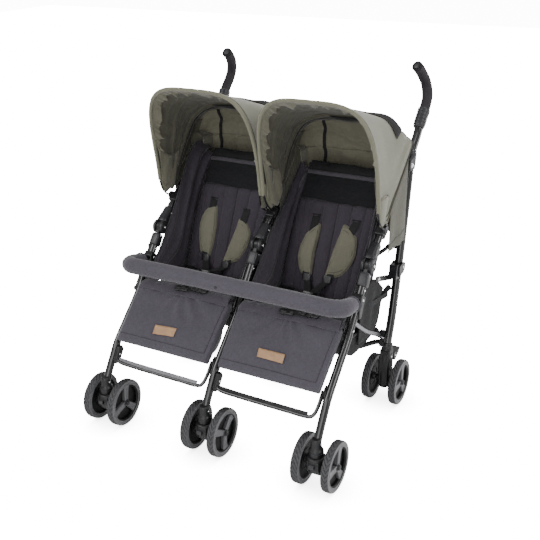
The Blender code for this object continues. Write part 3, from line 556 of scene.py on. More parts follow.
def sheet_area(rows):
    rows = [[Vector(p) for p in r] for r in rows]
    total = 0.0
    for r0, r1 in zip(rows[:-1], rows[1:]):
        for j in range(len(r0) - 1):
            a, b, c, d = r0[j], r0[j + 1], r1[j + 1], r1[j]
            total += 0.5 * ((b - a).cross(c - a)).length + 0.5 * ((c - a).cross(d - a)).length
    return total


def declare_sheet(ob, rows):
    """Flat size of the cut: the sheet's own widths, and its area as it was sewn."""
    w, l = round(ob["size_u"], 3), round(ob["size_v"], 3)
    area = min(sheet_area(rows), w * l)
    area = max(area, 0.301 * w * l)


def frames_of(line, ref=None):
    """Tangent and two normals at each point, carried along without twist."""
    p = [Vector(q) for q in line]
    n = len(p)
    out, u = [], None
    for i in range(n):
        if i == 0:
            t = (p[1] - p[0]).normalized()
        elif i == n - 1:
            t = (p[-1] - p[-2]).normalized()
        else:
            t = ((p[i] - p[i - 1]).normalized() + (p[i + 1] - p[i]).normalized()).normalized()
        if u is None:
            u = Vector(ref) if ref is not None else (Vector((1, 0, 0)) if abs(t.x) < 0.8 else Vector((0, 0, 1)))
        u = (u - t * u.dot(t)).normalized()
        out.append((t, u.copy(), t.cross(u)))
    return p, out


def tube_rows(line, radius, sides=20, wide=1.0, fillet=0.25, ref=None, power=2.0):
    p, fr = frames_of(line, ref)
    n = len(p)
    rad = [radius] * n if isinstance(radius, (int, float)) else list(radius)
    rings = []

    def ring(c, r, u, w):
        row = []
        for k in range(sides):
            a = 2 * math.pi * k / sides
            ca, sa = math.cos(a), math.sin(a)
            if power != 2.0:
                ca = math.copysign(abs(ca) ** (2 / power), ca)
                sa = math.copysign(abs(sa) ** (2 / power), sa)
            row.append(c + r * (wide * ca * u + sa * w))
        return row

    f = fillet
    t, u, w = fr[0]
    if f > 0:
        for off, s in ((0.0, 1 - f), (0.3 * f, 1 - 0.28 * f)):
            rings.append(ring(p[0] + t * (off * rad[0]), rad[0] * s, u, w))
    for i in range(n):
        t, u, w = fr[i]
        c = p[i]
        if f > 0 and i == 0:
            c = p[0] + t * (f * rad[0])
        if f > 0 and i == n - 1:
            c = p[-1] - t * (f * rad[-1])
        rings.append(ring(c, rad[i], u, w))
    t, u, w = fr[-1]
    if f > 0:
        for off, s in ((0.3 * f, 1 - 0.28 * f), (0.0, 1 - f)):
            rings.append(ring(p[-1] - t * (off * rad[-1]), rad[-1] * s, u, w))
    return rings


def tube(name, line, radius, mat, body=None, sides=20, wide=1.0, fillet=0.25, ref=None, power=2.0, **k):
    return surface(name, tube_rows(line, radius, sides, wide, fillet, ref, power), mat, body, wrap=True, caps=True, **k)


def lathe(name, profile, centre, axis, mat, body=None, segs=32, **k):
    """Turns (radius, height) points; the first and last ring are closed flat."""
    ax = Vector(axis).normalized()
    ref = Vector((0, 0, 1)) if abs(ax.z) < 0.8 else Vector((0, 1, 0))
    u = (ref - ax * ref.dot(ax)).normalized()
    w = ax.cross(u)
    c = Vector(centre)
    rows = []
    for r, h in profile:
        r = max(r, 0.00015)
        rows.append([c + ax * h + r * (math.cos(2 * math.pi * j / segs) * u + math.sin(2 * math.pi * j / segs) * w)
                     for j in range(segs)])
    return surface(name, rows, mat, body, wrap=True, caps=True, **k)


def bevelled(ob, width, segs=3, angle=30.0):
    bv = ob.modifiers.new("soft_edges", 'BEVEL')
    bv.width = width
    bv.segments = segs
    bv.limit_method = 'ANGLE'
    bv.angle_limit = math.radians(angle)
    bv.harden_normals = False
    return ob


def prism(name, outline, x0, x1, mat, body=None, bevel=0.0015, segs=3, **k):
    """A (y, z) outline extruded along X, with rounded edges."""
    n = len(outline)
    verts = [(x0, y, z) for y, z in outline] + [(x1, y, z) for y, z in outline]
    faces = [tuple(range(n)), tuple(reversed(range(n, 2 * n)))]
    faces += [(i, n + i, n + (i + 1) % n, (i + 1) % n) for i in range(n)]
    ob = finish_mesh(name, verts, faces, mat, body, closed=True, **k)
    if bevel:
        bevelled(ob, bevel, segs)
    return ob


def block(name, centre, along, half_len, half_thick, x0, x1, mat, body=None, bevel=0.002, taper=1.0, **k):
    """A rounded block in a side plane, its long way along a (y, z) direction."""
    c, d = Vector(centre), Vector(along).normalized()
    nrm = Vector((-d.y, d.x))
    pts = [c - d * half_len - nrm * half_thick, c - d * half_len + nrm * half_thick,
           c + d * half_len + nrm * half_thick * taper, c + d * half_len - nrm * half_thick * taper]
    return prism(name, [(p.x, p.y) for p in pts], x0, x1, mat, body, bevel, **k)


def rivet(name, x, y, z, sx, body, r=0.0042, h=0.0022, mat=None, washer=False):
    """A domed rivet head pointing along X."""
    prof = [(r, -0.0004), (r, 0.0004), (r * 0.92, h * 0.5), (r * 0.65, h * 0.88), (r * 0.3, h), (0, h)]
    if washer:
        prof = [(r * 1.5, -0.0004), (r * 1.5, 0.0004), (r * 1.42, 0.0009), (r * 1.02, 0.0009)] + [(a, b + 0.0007) for a, b in prof[1:]]
    return lathe(name, prof, (x, y, z), (sx, 0, 0), mat or RIVET, body, segs=20)


def strap(name, line, width, thick, mat, body=None, across=(1, 0, 0), fold=0.0, **k):
    """Flat webbing along a line. across is the direction of its width, one or one per point."""
    p = [Vector(q) for q in line]
    n = len(p)
    rows = []
    for i in range(n):
        t = (p[min(i + 1, n - 1)] - p[max(i - 1, 0)]).normalized()
        a = Vector(across[i] if isinstance(across, list) else across)
        a = (a - t * a.dot(t)).normalized()
        nn = t.cross(a)
        w = (width[i] if isinstance(width, list) else width) / 2
        h = thick / 2
        sec = [(-w, -h * 0.3), (-w, h * 0.3), (-w * 0.96, h), (-w * 0.5, h), (0, h), (w * 0.5, h), (w * 0.96, h), (w, h * 0.3),
               (w, -h * 0.3), (w * 0.96, -h), (w * 0.5, -h), (0, -h), (-w * 0.5, -h), (-w * 0.96, -h)]
        rows.append([p[i] + a * s + nn * (q + fold * math.cos(math.pi * s / (2 * w) if w else 0)) for s, q in sec])
    return surface(name, rows, mat, body, wrap=True, caps=True, **k)


def stitches(name, line, normal, body, mat, length=0.0032, gap=0.0022, r=0.00035, lift=0.0003):
    """A row of sewing stitches lying along a line on a surface."""
    p = [Vector(q) for q in line]
    nrm = [Vector(v) for v in normal] if isinstance(normal, list) else [Vector(normal)] * len(p)
    acc = [0.0]
    for a, b in zip(p[:-1], p[1:]):
        acc.append(acc[-1] + (b - a).length)

    def at_len(s):
        for i in range(len(p) - 1):
            if acc[i + 1] >= s:
                q = (s - acc[i]) / max(acc[i + 1] - acc[i], 1e-9)
                return p[i].lerp(p[i + 1], q), nrm[i].lerp(nrm[i + 1], q).normalized(), (p[i + 1] - p[i]).normalized()
        return p[-1], nrm[-1], (p[-1] - p[-2]).normalized()

    verts, faces = [], []
    s = gap
    while s + length < acc[-1]:
        a, na, ta = at_len(s)
        b, nb, tb = at_len(s + length)
        mid = (a + b) / 2 + (na + nb).normalized() * (lift + r)
        rows = []
        for q, rr, c in ((0, 0.4, a + na * lift * 0.2), (0.3, 1.0, a.lerp(mid, 0.5) + na * lift * 0.6), (0.5, 1.0, mid),
                         (0.7, 1.0, b.lerp(mid, 0.5) + nb * lift * 0.6), (1, 0.4, b + nb * lift * 0.2)):
            w = ta.cross(na).normalized()
            rows.append([c + r * rr * (math.cos(2 * math.pi * k / 5) * w * 1.3 + math.sin(2 * math.pi * k / 5) * na) for k in range(5)])
        off = len(verts)
        for row in rows:
            verts += row
        for i in range(4):
            for k in range(5):
                k2 = (k + 1) % 5
                faces.append((off + i * 5 + k, off + i * 5 + k2, off + (i + 1) * 5 + k2, off + (i + 1) * 5 + k))
        faces.append(tuple(off + k for k in reversed(range(5))))
        faces.append(tuple(off + 20 + k for k in range(5)))
        s += length + gap
    if not verts:
        return None
    return finish_mesh(name, verts, faces, mat, body, closed=True)


def wob(p, scale=1.0, seed=0.0):
    """A smooth repeatable number between -1 and 1 for a point."""
    return noise.noise(Vector((p[0] * scale + seed * 7.13, p[1] * scale - seed * 3.7, p[2] * scale + seed * 1.9)))


def lug(centre, towards, r_eye, half, length, steps=20):
    """A round eye with a straight tongue, as (y, z) points."""
    c = Vector(centre)
    d = (Vector(towards) - c).normalized()
    nrm = Vector((-d.y, d.x))
    start = math.asin(min(1.0, half / r_eye))
    pts = []
    for k in range(steps + 1):
        a = start + (2 * math.pi - 2 * start) * k / steps
        pts.append(c + r_eye * (math.cos(a) * d + math.sin(a) * nrm))
    pts += [c + d * length - nrm * half, c + d * length + nrm * half]
    return [(p.x, p.y) for p in pts]


def on_yz(points, t):
    """The (y, z) point a share t of the way along a smooth line of (y, z) points."""
    fine = spline([(0, y, z) for y, z in points], 8)
    acc = [0.0]
    for a, b in zip(fine[:-1], fine[1:]):
        acc.append(acc[-1] + (b - a).length)
    want = t * acc[-1]
    for i in range(len(fine) - 1):
        if acc[i + 1] >= want:
            q = fine[i].lerp(fine[i + 1], (want - acc[i]) / max(acc[i + 1] - acc[i], 1e-9))
            return (q.y, q.z)
    return (fine[-1].y, fine[-1].z)


def keep_node(node, mat, bevel=0.0012):
    """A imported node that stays, with a finer finish."""
    ob = frame["nodes"][node]
    for i in range(len(ob.data.materials)):
        ob.data.materials[i] = mat
    if not ob.data.materials:
        ob.data.materials.append(mat)
    if bevel:
        bevelled(ob, bevel, 3)
    return ob


# ================================================================= frame tubes and joints
DT = (Vector(REAR_LINE[-1]) - Vector(REAR_LINE[-2])).normalized()
P5 = Vector(REAR_LINE[-1])
DR = (Vector(TOP) - Vector(KNEE)).normalized()
RAIL_LEN = (Vector(TOP) - Vector(KNEE)).length


def rail_at(d):
    return (KNEE[0] + DR.x * d, KNEE[1] + DR.y * d)


def leg_at(d):
    """The (y, z) point of a front leg's line at a distance from the knee's pin."""
    line = [KNEE] + LEG_LINE
    left = d
    for a, b in zip(line[:-1], line[1:]):
        n = math.hypot(b[0] - a[0], b[1] - a[1])
        if left <= n:
            return (a[0] + (b[0] - a[0]) * left / n, a[1] + (b[1] - a[1]) * left / n)
        left -= n
    return line[-1]


def rear_y(z):
    for (y0, z0), (y1, z1) in zip(REAR_LINE[:-1], REAR_LINE[1:]):
        if z0 <= z <= z1:
            return y0 + (y1 - y0) * (z - z0) / (z1 - z0)
    return REAR_LINE[-1][0]


for X, s in SIDES:
    sg = 1 if X > 0 else -1
    # -------- rear tube, and the handle's part of the outer two
    line = side_line(X, REAR_LINE)
    if X:
        line += [(X, 0.612, 0.758), (X - sg * 0.0005, 0.634, 0.778), (X - sg * 0.0015, 0.658, 0.801),
                 (X - sg * 0.0022, 0.674, 0.822), (X - sg * 0.0012, 0.684, 0.838)]
    else:
        line += [(X, 0.6025, 0.749)]
    ob = tube("rear_tube_skin_" + s, spline(line, 4), R_REAR, PAINT, "rear_frame", sides=24)
    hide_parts("rear_tube_" + s)
    if X:
        lathe("link_pin_" + s, [(0.0040, 0), (0.0040, 0.011), (0.0066, 0.0112), (0.0066, 0.0125), (0.0050, 0.0143), (0.002, 0.015)],
              (X - sg * 0.0105, *LINK), (-sg, 0, 0), RIVET, "rear_frame", segs=20)

    # -------- top joint: sleeve on the rear tube, two round cheeks, bright pin
    sl = [(X, *(P5 - DT * 0.030)), (X, *(P5 - DT * 0.010)), (X, *(P5 + DT * 0.010)), (X, *(P5 + DT * 0.022))]
    if not X:
        sl[-1] = (X, *(P5 + DT * 0.0165))
    ob = tube("top_sleeve_" + s, sl, [0.0150, 0.0163, 0.0163, 0.0155], GREY, "rear_frame", sides=24, fillet=0.12)
    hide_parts("top_joint_" + s)
    for tag, a, b in (("a", -0.0165, -0.0070), ("b", 0.0070, 0.0165)):
        outline = lug((TOP[0] + 0.001, TOP[1] + 0.001), tuple(P5 + DT * 0.004), 0.0178, 0.0150, 0.030)
        prism("top_cheek_%s_%s" % (s, tag), outline, X + a, X + b, GREY, "rear_frame", bevel=0.0022)
    for tag, d in (("a", -1), ("b", 1)):
        lathe("top_pin_%s_%s" % (s, tag), [(0.0078, 0.0), (0.0078, 0.0010), (0.0066, 0.0016), (0.0062, 0.0022), (0.0045, 0.0036), (0.0015, 0.0040)],
              (X + d * 0.0163, *TOP), (d, 0, 0), RIVET, "rear_frame", segs=24)

    # -------- rail: straight tube with a flattened end in the top joint
    ob = tube("rail_skin_" + s, [(X, *rail_at(d)) for d in (0.030, 0.12, 0.22, RAIL_LEN - 0.045, RAIL_LEN - 0.028)],
              [R_RAIL] * 4 + [0.0092], PAINT, "rails", sides=24)
    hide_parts("rail_" + s)
    prism("rail_eye_" + s, lug(TOP, KNEE, 0.0125, 0.0092, 0.044), X - 0.0058, X + 0.0058, PAINT, "rails", bevel=0.0015)

    # -------- knee: barrel in two halves, collar above, grey sleeve below
    rim = [(0.0202, 0.0068), (0.0207, 0.0074), (0.0207, 0.0140), (0.0198, 0.0156), (0.0180, 0.0170), (0.0160, 0.0175),
           (0.0150, 0.0170), (0.0145, 0.0162), (0.0080, 0.0162), (0.0074, 0.0172), (0.0055, 0.0180), (0.002, 0.0182)]
    for tag, d in (("a", -1), ("b", 1)):
        ob = lathe("knee_half_%s_%s" % (s, tag), rim, (X, *KNEE), (d, 0, 0), DARK_GREY, "rails", segs=40)
        if tag == "a":
            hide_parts("knee_joint_" + s)
        rivet("knee_rivet_%s_%s" % (s, tag), X + d * 0.0178, *KNEE, d, "rails", 0.0044, 0.0024)
    tube("knee_collar_" + s, [(X, *rail_at(d)) for d in (0.013, 0.026, 0.044, 0.062, 0.068)], [0.0172, 0.0166, 0.0150, 0.0140, 0.0136],
         GREY, "rails", sides=28, power=3.2, fillet=0.10)
    rivet("collar_rivet_" + s, X + 0.0145, *rail_at(0.053), 1, "rails", 0.0030, 0.0016)

    # -------- front leg with its sleeve, rivets and inner strip
    ob = tube("leg_skin_" + s, spline(side_line(X, LEG_LINE), 7), R_LEG, PAINT, "front_legs", sides=24)
    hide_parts("front_leg_" + s)
    prism("knee_tongue_" + s, lug(KNEE, leg_at(0.05), 0.0165, 0.0095, 0.040), X - 0.0060, X + 0.0060, PLASTIC, "front_legs", bevel=0.001)
    tube("leg_sleeve_" + s, [(X, *leg_at(d)) for d in (0.0245, 0.030, 0.056, 0.062)], [0.0132, 0.0141, 0.0141, 0.0128], GREY,
         "front_legs", sides=28, power=5.0, fillet=0.10)
    rivet("sleeve_rivet_" + s, X + 0.0132, *leg_at(0.030), 1, "front_legs", 0.0028, 0.0014)
    rivet("leg_rivet_" + s, X + 0.0102, *leg_at(0.071), 1, "front_legs", 0.0036, 0.0020)
    rivet("leg_rivet_low_" + s, X + 0.0102, *leg_at(0.185), 1, "front_legs", 0.0036, 0.0020)
    # a thin second bar beside the leg's upper half
    tube("leg_stay_" + s, [(X - 0.0150, *leg_at(d)) for d in (0.060, 0.10, 0.15, 0.205)], 0.0032, PAINT, "front_legs", sides=12)
    for tag, d in (("a", 0.064), ("b", 0.200)):
        q = leg_at(d)
        prism("stay_clip_%s_%s" % (s, tag), [(q[0] - 0.006, q[1] - 0.006), (q[0] + 0.006, q[1] - 0.006), (q[0] + 0.006, q[1] + 0.006), (q[0] - 0.006, q[1] + 0.006)],
              X - 0.0185, X - 0.0085, PLASTIC, "front_legs", bevel=0.0015)
    # foot socket over the caster
    lathe("leg_socket_" + s, [(0.0185, 0.1064), (0.0197, 0.1074), (0.0197, 0.1225), (0.0188, 0.1245), (0.0160, 0.1275), (0.0146, 0.1340),
                              (0.0136, 0.1450), (0.0128, 0.1540), (0.0112, 0.1560)], (X, SWIVEL_Y, 0), (0, 0, 1), PLASTIC, "front_legs", segs=36)
    lathe("socket_ring_" + s, [(0.0190, 0.1150), (0.0203, 0.1155), (0.0203, 0.1180), (0.0190, 0.1185)], (X, SWIVEL_Y, 0), (0, 0, 1),
          DARK_GREY, "front_legs", segs=36)
    rivet("socket_rivet_" + s, X + 0.0128, SWIVEL_Y + 0.001, 0.140, 1, "front_legs", 0.0030, 0.0022)

    # -------- caster: dome, arm, lock tab, axle heads
    b = "caster_" + s
    ob = lathe("caster_dome_" + s, [(0.0190, 0.060), (0.0215, 0.062), (0.0250, 0.070), (0.0266, 0.078), (0.0266, 0.096), (0.0258, 0.0985),
                                    (0.0264, 0.0990), (0.0262, 0.1010), (0.0235, 0.1040), (0.0205, 0.1053), (0.0060, 0.1054), (0.0056, 0.1062)],
               (X, SWIVEL_Y, 0), (0, 0, 1), PLASTIC, b, segs=40)
    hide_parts("swivel_fork_" + s)
    prism("caster_arm_" + s, [(-0.046, 0.098), (0.002, 0.098), (0.010, 0.084), (0.0125, 0.068), (0.005, 0.056), (-0.014, 0.049), (-0.036, 0.054),
                              (-0.0465, 0.072)], X - 0.0188, X + 0.0188, PLASTIC, b, bevel=0.0045, segs=4)
    prism("caster_rib_" + s, [(-0.040, 0.092), (0.000, 0.092), (0.006, 0.080), (0.006, 0.066), (-0.014, 0.056), (-0.036, 0.062)],
          X - 0.0203, X + 0.0203, SATIN, b, bevel=0.002)
    prism("caster_lock_" + s, [(-0.0555, 0.090), (-0.046, 0.093), (-0.046, 0.080), (-0.0535, 0.078)], X - 0.008, X + 0.008, DARK_GREY, b, bevel=0.0018)
    lathe("caster_axle_" + s, [(0.0040, -0.0566), (0.0040, 0.0566)], (X, 0, WHEEL_R), (1, 0, 0), STEEL, b, segs=16)
    lathe("caster_boss_" + s, [(0.0095, -0.0282), (0.0105, -0.0270), (0.0105, 0.0270), (0.0095, 0.0282)], (X, 0, WHEEL_R), (1, 0, 0), PLASTIC, b, segs=28)
    for tag, d in (("a", -1), ("b", 1)):
        lathe("caster_axle_cap_%s_%s" % (s, tag), [(0.0078, 0.0), (0.0078, 0.0010), (0.0066, 0.0022), (0.0035, 0.0030), (0.001, 0.0032)],
              (X + d * 0.0564, 0, WHEEL_R), (d, 0, 0), DARK_GREY, b, segs=24)

    # -------- rear foot: housing with a round front, ribs and axle
    outline = [(0.4545, 0.172), (0.4570, 0.1765), (0.4885, 0.1765), (0.4912, 0.172), (0.4932, 0.120), (0.4940, 0.075), (0.4870, 0.053),
               (0.4640, 0.047), (0.4470, 0.062), (0.4460, 0.120)]
    ob = prism("rear_foot_" + s, outline, X - 0.0158, X + 0.0158, PLASTIC, "rear_frame", bevel=0.0042, segs=4)
    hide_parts("rear_axle_housing_" + s)
    tube("rear_foot_tube_" + s, [(X, 0.4600, 0.052), (X, 0.4600, 0.10), (X, 0.4655, 0.150), (X, 0.4725, 0.1745), (X, 0.4765, 0.190)],
         [0.0145, 0.0152, 0.0158, 0.0158, 0.0150], PLASTIC, "rear_frame", sides=28, fillet=0.2)
    tube("rear_foot_collar_" + s, [(X, 0.4735, 0.1775), (X, 0.4775, 0.1935)], [0.0165, 0.0160], SATIN, "rear_frame", sides=28, fillet=0.14)
    for tag, d in (("a", -1), ("b", 1)):
        prism("rear_foot_rib_%s_%s" % (s, tag), [(0.4550, 0.160), (0.4840, 0.160), (0.4865, 0.090), (0.4780, 0.066), (0.4550, 0.072)],
              X + (0.0150 if d > 0 else -0.0172), X + (0.0172 if d > 0 else -0.0150), SATIN, "rear_frame", bevel=0.0011)
        rivet("rear_foot_rivet_%s_%s" % (s, tag), X + d * 0.0168, 0.4725, 0.150, d, "rear_frame", 0.0034, 0.0020)
        rivet("rear_foot_screw_%s_%s" % (s, tag), X + d * 0.0168, 0.4700, 0.105, d, "rear_frame", 0.0030, 0.0016, STEEL)
        lathe("rear_axle_cap_%s_%s" % (s, tag), [(0.0078, 0.0), (0.0078, 0.0010), (0.0066, 0.0022), (0.0035, 0.0030), (0.001, 0.0032)],
              (X + d * 0.0564, REAR_Y, WHEEL_R), (d, 0, 0), DARK_GREY, "rear_frame", segs=24)
    lathe("rear_axle_" + s, [(0.0040, -0.0566), (0.0040, 0.0566)], (X, REAR_Y, WHEEL_R), (1, 0, 0), STEEL, "rear_frame", segs=16)
    lathe("rear_boss_" + s, [(0.0105, -0.0282), (0.0118, -0.0268), (0.0118, 0.0268), (0.0105, 0.0282)], (X, REAR_Y, WHEEL_R), (1, 0, 0), PLASTIC,
          "rear_frame", segs=28)

# bumper brackets on the outer legs
for sx, s in BAYS:
    X = sx * FRAME_X
    a, b2 = leg_at(0.086), leg_at(0.128)
    out = [(a[0] - 0.010, a[1] + 0.010), (a[0] + 0.013, a[1] - 0.009), (b2[0] + 0.013, b2[1] - 0.010), (b2[0] - 0.008, b2[1] + 0.002),
           (0.2190, 0.4295), (0.2190, 0.4510)]
    prism("bumper_bracket_" + s, out, X - 0.0140, X + 0.0140, PLASTIC, "front_legs", bevel=0.003, segs=3)
    rivet("bumper_bracket_rivet_" + s, X + 0.0136, *leg_at(0.098), 1, "front_legs", 0.0040, 0.0022)
    prism("bumper_bracket_plate_" + s, [(0.206, 0.395), (0.222, 0.392), (0.236, 0.420), (0.225, 0.432), (0.212, 0.424)],
          X + 0.0105, X + 0.0150, GREY, "front_legs", bevel=0.0018)

# ================================================================= wheels: one mesh for all twelve
class Parts:
    def __init__(self):
        self.v, self.f, self.m = [], [], []

    def ring(self, profile, segs, mats, radius=None, closed=True):
        off, n = len(self.v), len(profile)
        for k in range(segs):
            a = 2 * math.pi * k / segs
            for r, h in profile:
                rr = radius(r, h, k) if radius else r
                self.v.append(Vector((h, rr * math.cos(a), rr * math.sin(a))))
        for k in range(segs):
            k2 = (k + 1) % segs
            for i in range(n if closed else n - 1):
                j = (i + 1) % n
                self.f.append((off + k * n + i, off + k * n + j, off + k2 * n + j, off + k2 * n + i))
                self.m.append(mats[i] if isinstance(mats, (list, tuple)) else mats)
        if not closed:
            self.f.append(tuple(off + k * n for k in range(segs)))
            self.f.append(tuple(off + k * n + n - 1 for k in reversed(range(segs))))
            self.m += [mats if isinstance(mats, int) else mats[0]] * 2

    def loft(self, rows, mat):
        off, n = len(self.v), len(rows[0])
        for r in rows:
            self.v += [Vector(p) for p in r]
        for i in range(len(rows) - 1):
            for k in range(n):
                k2 = (k + 1) % n
                self.f.append((off + i * n + k, off + i * n + k2, off + (i + 1) * n + k2, off + (i + 1) * n + k))
                self.m.append(mat)
        self.f.append(tuple(off + k for k in reversed(range(n))))
        self.f.append(tuple(off + (len(rows) - 1) * n + k for k in range(n)))
        self.m += [mat] * 2


def wheel_mesh():
    p = Parts()
    segs, chevrons = 240, 30
    xs = [-0.0100, -0.0088, -0.0066, -0.0044, -0.0022, 0.0, 0.0022, 0.0044, 0.0066, 0.0088, 0.0100]
    tread = [(0.0702 - 0.0022 * (abs(x) / 0.0110) ** 4, x) for x in xs]
    prof = [(0.0562, -0.0096), (0.0600, -0.0108), (0.0650, -0.0111), (0.0678, -0.0108)] + tread + \
           [(0.0678, 0.0108), (0.0650, 0.0111), (0.0600, 0.0108), (0.0562, 0.0096), (0.0555, 0.0070), (0.0555, -0.0070)]

    def radius(r, h, k):
        if r < 0.0677 or abs(h) > 0.0095:
            return min(r, 0.0700)
        t = (k * chevrons / segs + abs(h) * 110.0 + (0.5 if h > 0 else 0.0)) % 1.0
        groove = 1.0 if t < 0.30 else (0.5 if t < 0.4 else 0.0)
        return min(r, 0.0700) - 0.0021 * groove

    mats = [2, 2, 2] + [0] * (len(tread) + 1) + [2, 2, 2, 1, 1, 1]
    p.ring(prof, segs, mats, radius)
    # rim: a lighter flange, a step, and the dark inside of the drum
    p.ring([(0.0545, 0.0104), (0.0560, 0.0112), (0.0580, 0.0112), (0.0585, 0.0100), (0.0560, 0.0080), (0.0560, -0.0080), (0.0585, -0.0100),
            (0.0580, -0.0112), (0.0560, -0.0112), (0.0545, -0.0104), (0.0515, -0.0060), (0.0510, 0.0060)], 96, [2, 2, 2, 1, 1, 1, 2, 2, 2, 3, 3, 3])
    # web behind the spokes
    p.ring([(0.0530, -0.0030), (0.0530, -0.0010), (0.0100, -0.0010), (0.0100, -0.0030)], 72, 3)
    p.ring([(0.0300, -0.0048), (0.0300, -0.0030), (0.0275, -0.0030), (0.0275, -0.0048)], 72, 3)
    # hub
    p.ring([(0.0060, -0.0128), (0.0112, -0.0128), (0.0116, -0.0120), (0.0116, -0.002), (0.0104, 0.0085), (0.0098, 0.0104), (0.0088, 0.0112), (0.0060, 0.0114)],
           48, 1)
    # three broad spokes
    for deg in (64.0, -58.0, 183.0):
        a = math.radians(deg)
        dy, dz = math.cos(a), math.sin(a)
        rows = []
        for r, w, top in ((0.0040, 0.0078, 0.0100), (0.0120, 0.0080, 0.0102), (0.0200, 0.0085, 0.0092), (0.0320, 0.0095, 0.0080), (0.0440, 0.0108, 0.0076),
                          (0.0500, 0.0122, 0.0082), (0.0530, 0.0140, 0.0090)):
            row = []
            for su, x in ((-1.0, -0.0010), (-1.0, top - 0.0022), (-0.80, top - 0.0004), (-0.45, top - 0.0010), (0.45, top - 0.0010), (0.80, top - 0.0004),
                          (1.0, top - 0.0022), (1.0, -0.0010)):
                row.append((x, r * dy - su * w * dz, r * dz + su * w * dy))
            rows.append(row)
        p.loft(rows, 4)
    me = bpy.data.meshes.new("wheel_mesh")
    me.from_pydata(p.v, [], p.f)
    for mt in (TYRE, RIM, SIDEWALL, WHEEL_BLACK, SPOKE):
        me.materials.append(mt)
    me.polygons.foreach_set("material_index", p.m)
    bm = bmesh.new()
    bm.from_mesh(me)
    bmesh.ops.recalc_face_normals(bm, faces=bm.faces)
    bm.to_mesh(me)
    bm.free()
    me.update()
    me.shade_smooth()
    me.set_sharp_from_angle(angle=math.radians(38))
    return me


SIDEWALL = plastic("tyre_sidewall", (0.085, 0.085, 0.090), 0.40, grain=0.10)
WHEEL_BLACK = plastic("wheel_inside_black", (0.0035, 0.0035, 0.004), 0.55, spec=0.25)
SPOKE = plastic("spoke_plastic", (0.075, 0.075, 0.080), 0.30, grain=0.05)
WHEEL = wheel_mesh()
TURN = {"wheel_front_right_b": 0.0, "wheel_rear_right_b": 6.0, "wheel_front_centre_b": -30.0, "wheel_front_left_b": 14.0}
for X, s in SIDES:
    for end, y in (("front", 0.0), ("rear", REAR_Y)):
        for tag, sx in (("a", -1), ("b", 1)):
            n = "wheel_%s_%s_%s" % (end, s, tag)
            ob = bpy.data.objects.new(n.replace("wheel", "rolling_wheel"), WHEEL)
            bpy.context.scene.collection.objects.link(ob)
            ob.location = place((X + sx * WHEEL_DX, y, WHEEL_R))
            turn = math.radians(TURN.get(n, 23.0 * (len(s) + (3 if end == "rear" else 0) + (sx > 0))))
            ob.rotation_euler = (turn, 0.0, 0.0 if sx > 0 else math.pi)
            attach(ob, n)
            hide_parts(n)

# ================================================================= handles
GRIP = [(0.3375, 0.676, 0.8255), (0.3395, 0.691, 0.846), (0.3400, 0.7095, 0.8675), (0.3380, 0.7265, 0.888),
        (0.3335, 0.7335, 0.910), (0.3285, 0.7305, 0.932), (0.3230, 0.7170, 0.953), (0.3190, 0.6990, 0.971), (0.3165, 0.6790, 0.984)]
for sx, s in BAYS:
    line = [Vector((sx * x, y, z)) for x, y, z in GRIP]
    fine = spline(line, 6)
    rad = [R_GRIP + 0.00025 * wob(p, 60, sx) for p in fine]
    rad[-1] = rad[-1] - 0.0006
    ob = tube("grip_skin_" + s, fine, rad, FOAM, "rear_frame", sides=32, fillet=0.35)
    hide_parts("grip_" + s)
    d = (fine[-1] - fine[-4]).normalized()
    tube("grip_end_" + s, [fine[-1] - d * 0.004, fine[-1] + d * 0.0010, fine[-1] + d * 0.0028], [0.0112, 0.0112, 0.0104], PLASTIC, "rear_frame",
         sides=28, fillet=0.3)
    # collar where the grip meets the tube
    col = [Vector((sx * 0.3366, 0.6640, 0.8085)), Vector((sx * 0.3370, 0.6700, 0.8165)), Vector((sx * 0.3378, 0.6800, 0.8305)),
           Vector((sx * 0.3391, 0.6925, 0.8475)), Vector((sx * 0.3396, 0.7000, 0.8570))]
    tube("grip_collar_" + s, spline(col, 4), [0.0158] * 3 + [0.0176] * 10 + [0.0182, 0.0182, 0.0182, 0.0180][:4], DARK_GREY, "rear_frame", sides=32, fillet=0.15)
    cf = spline(col, 4)
    for k, i in enumerate((6, 8, 10, 12)):
        tube("grip_collar_rib_%s_%d" % (s, k), [cf[i] - (cf[i + 1] - cf[i]).normalized() * 0.0009, cf[i] + (cf[i + 1] - cf[i]).normalized() * 0.0009],
             0.0186, SATIN, "rear_frame", sides=32, fillet=0.04)
    rivet("grip_collar_rivet_" + s, sx * 0.3375 + 0.0150, 0.6675, 0.8125, 1, "rear_frame", 0.0030, 0.0022)

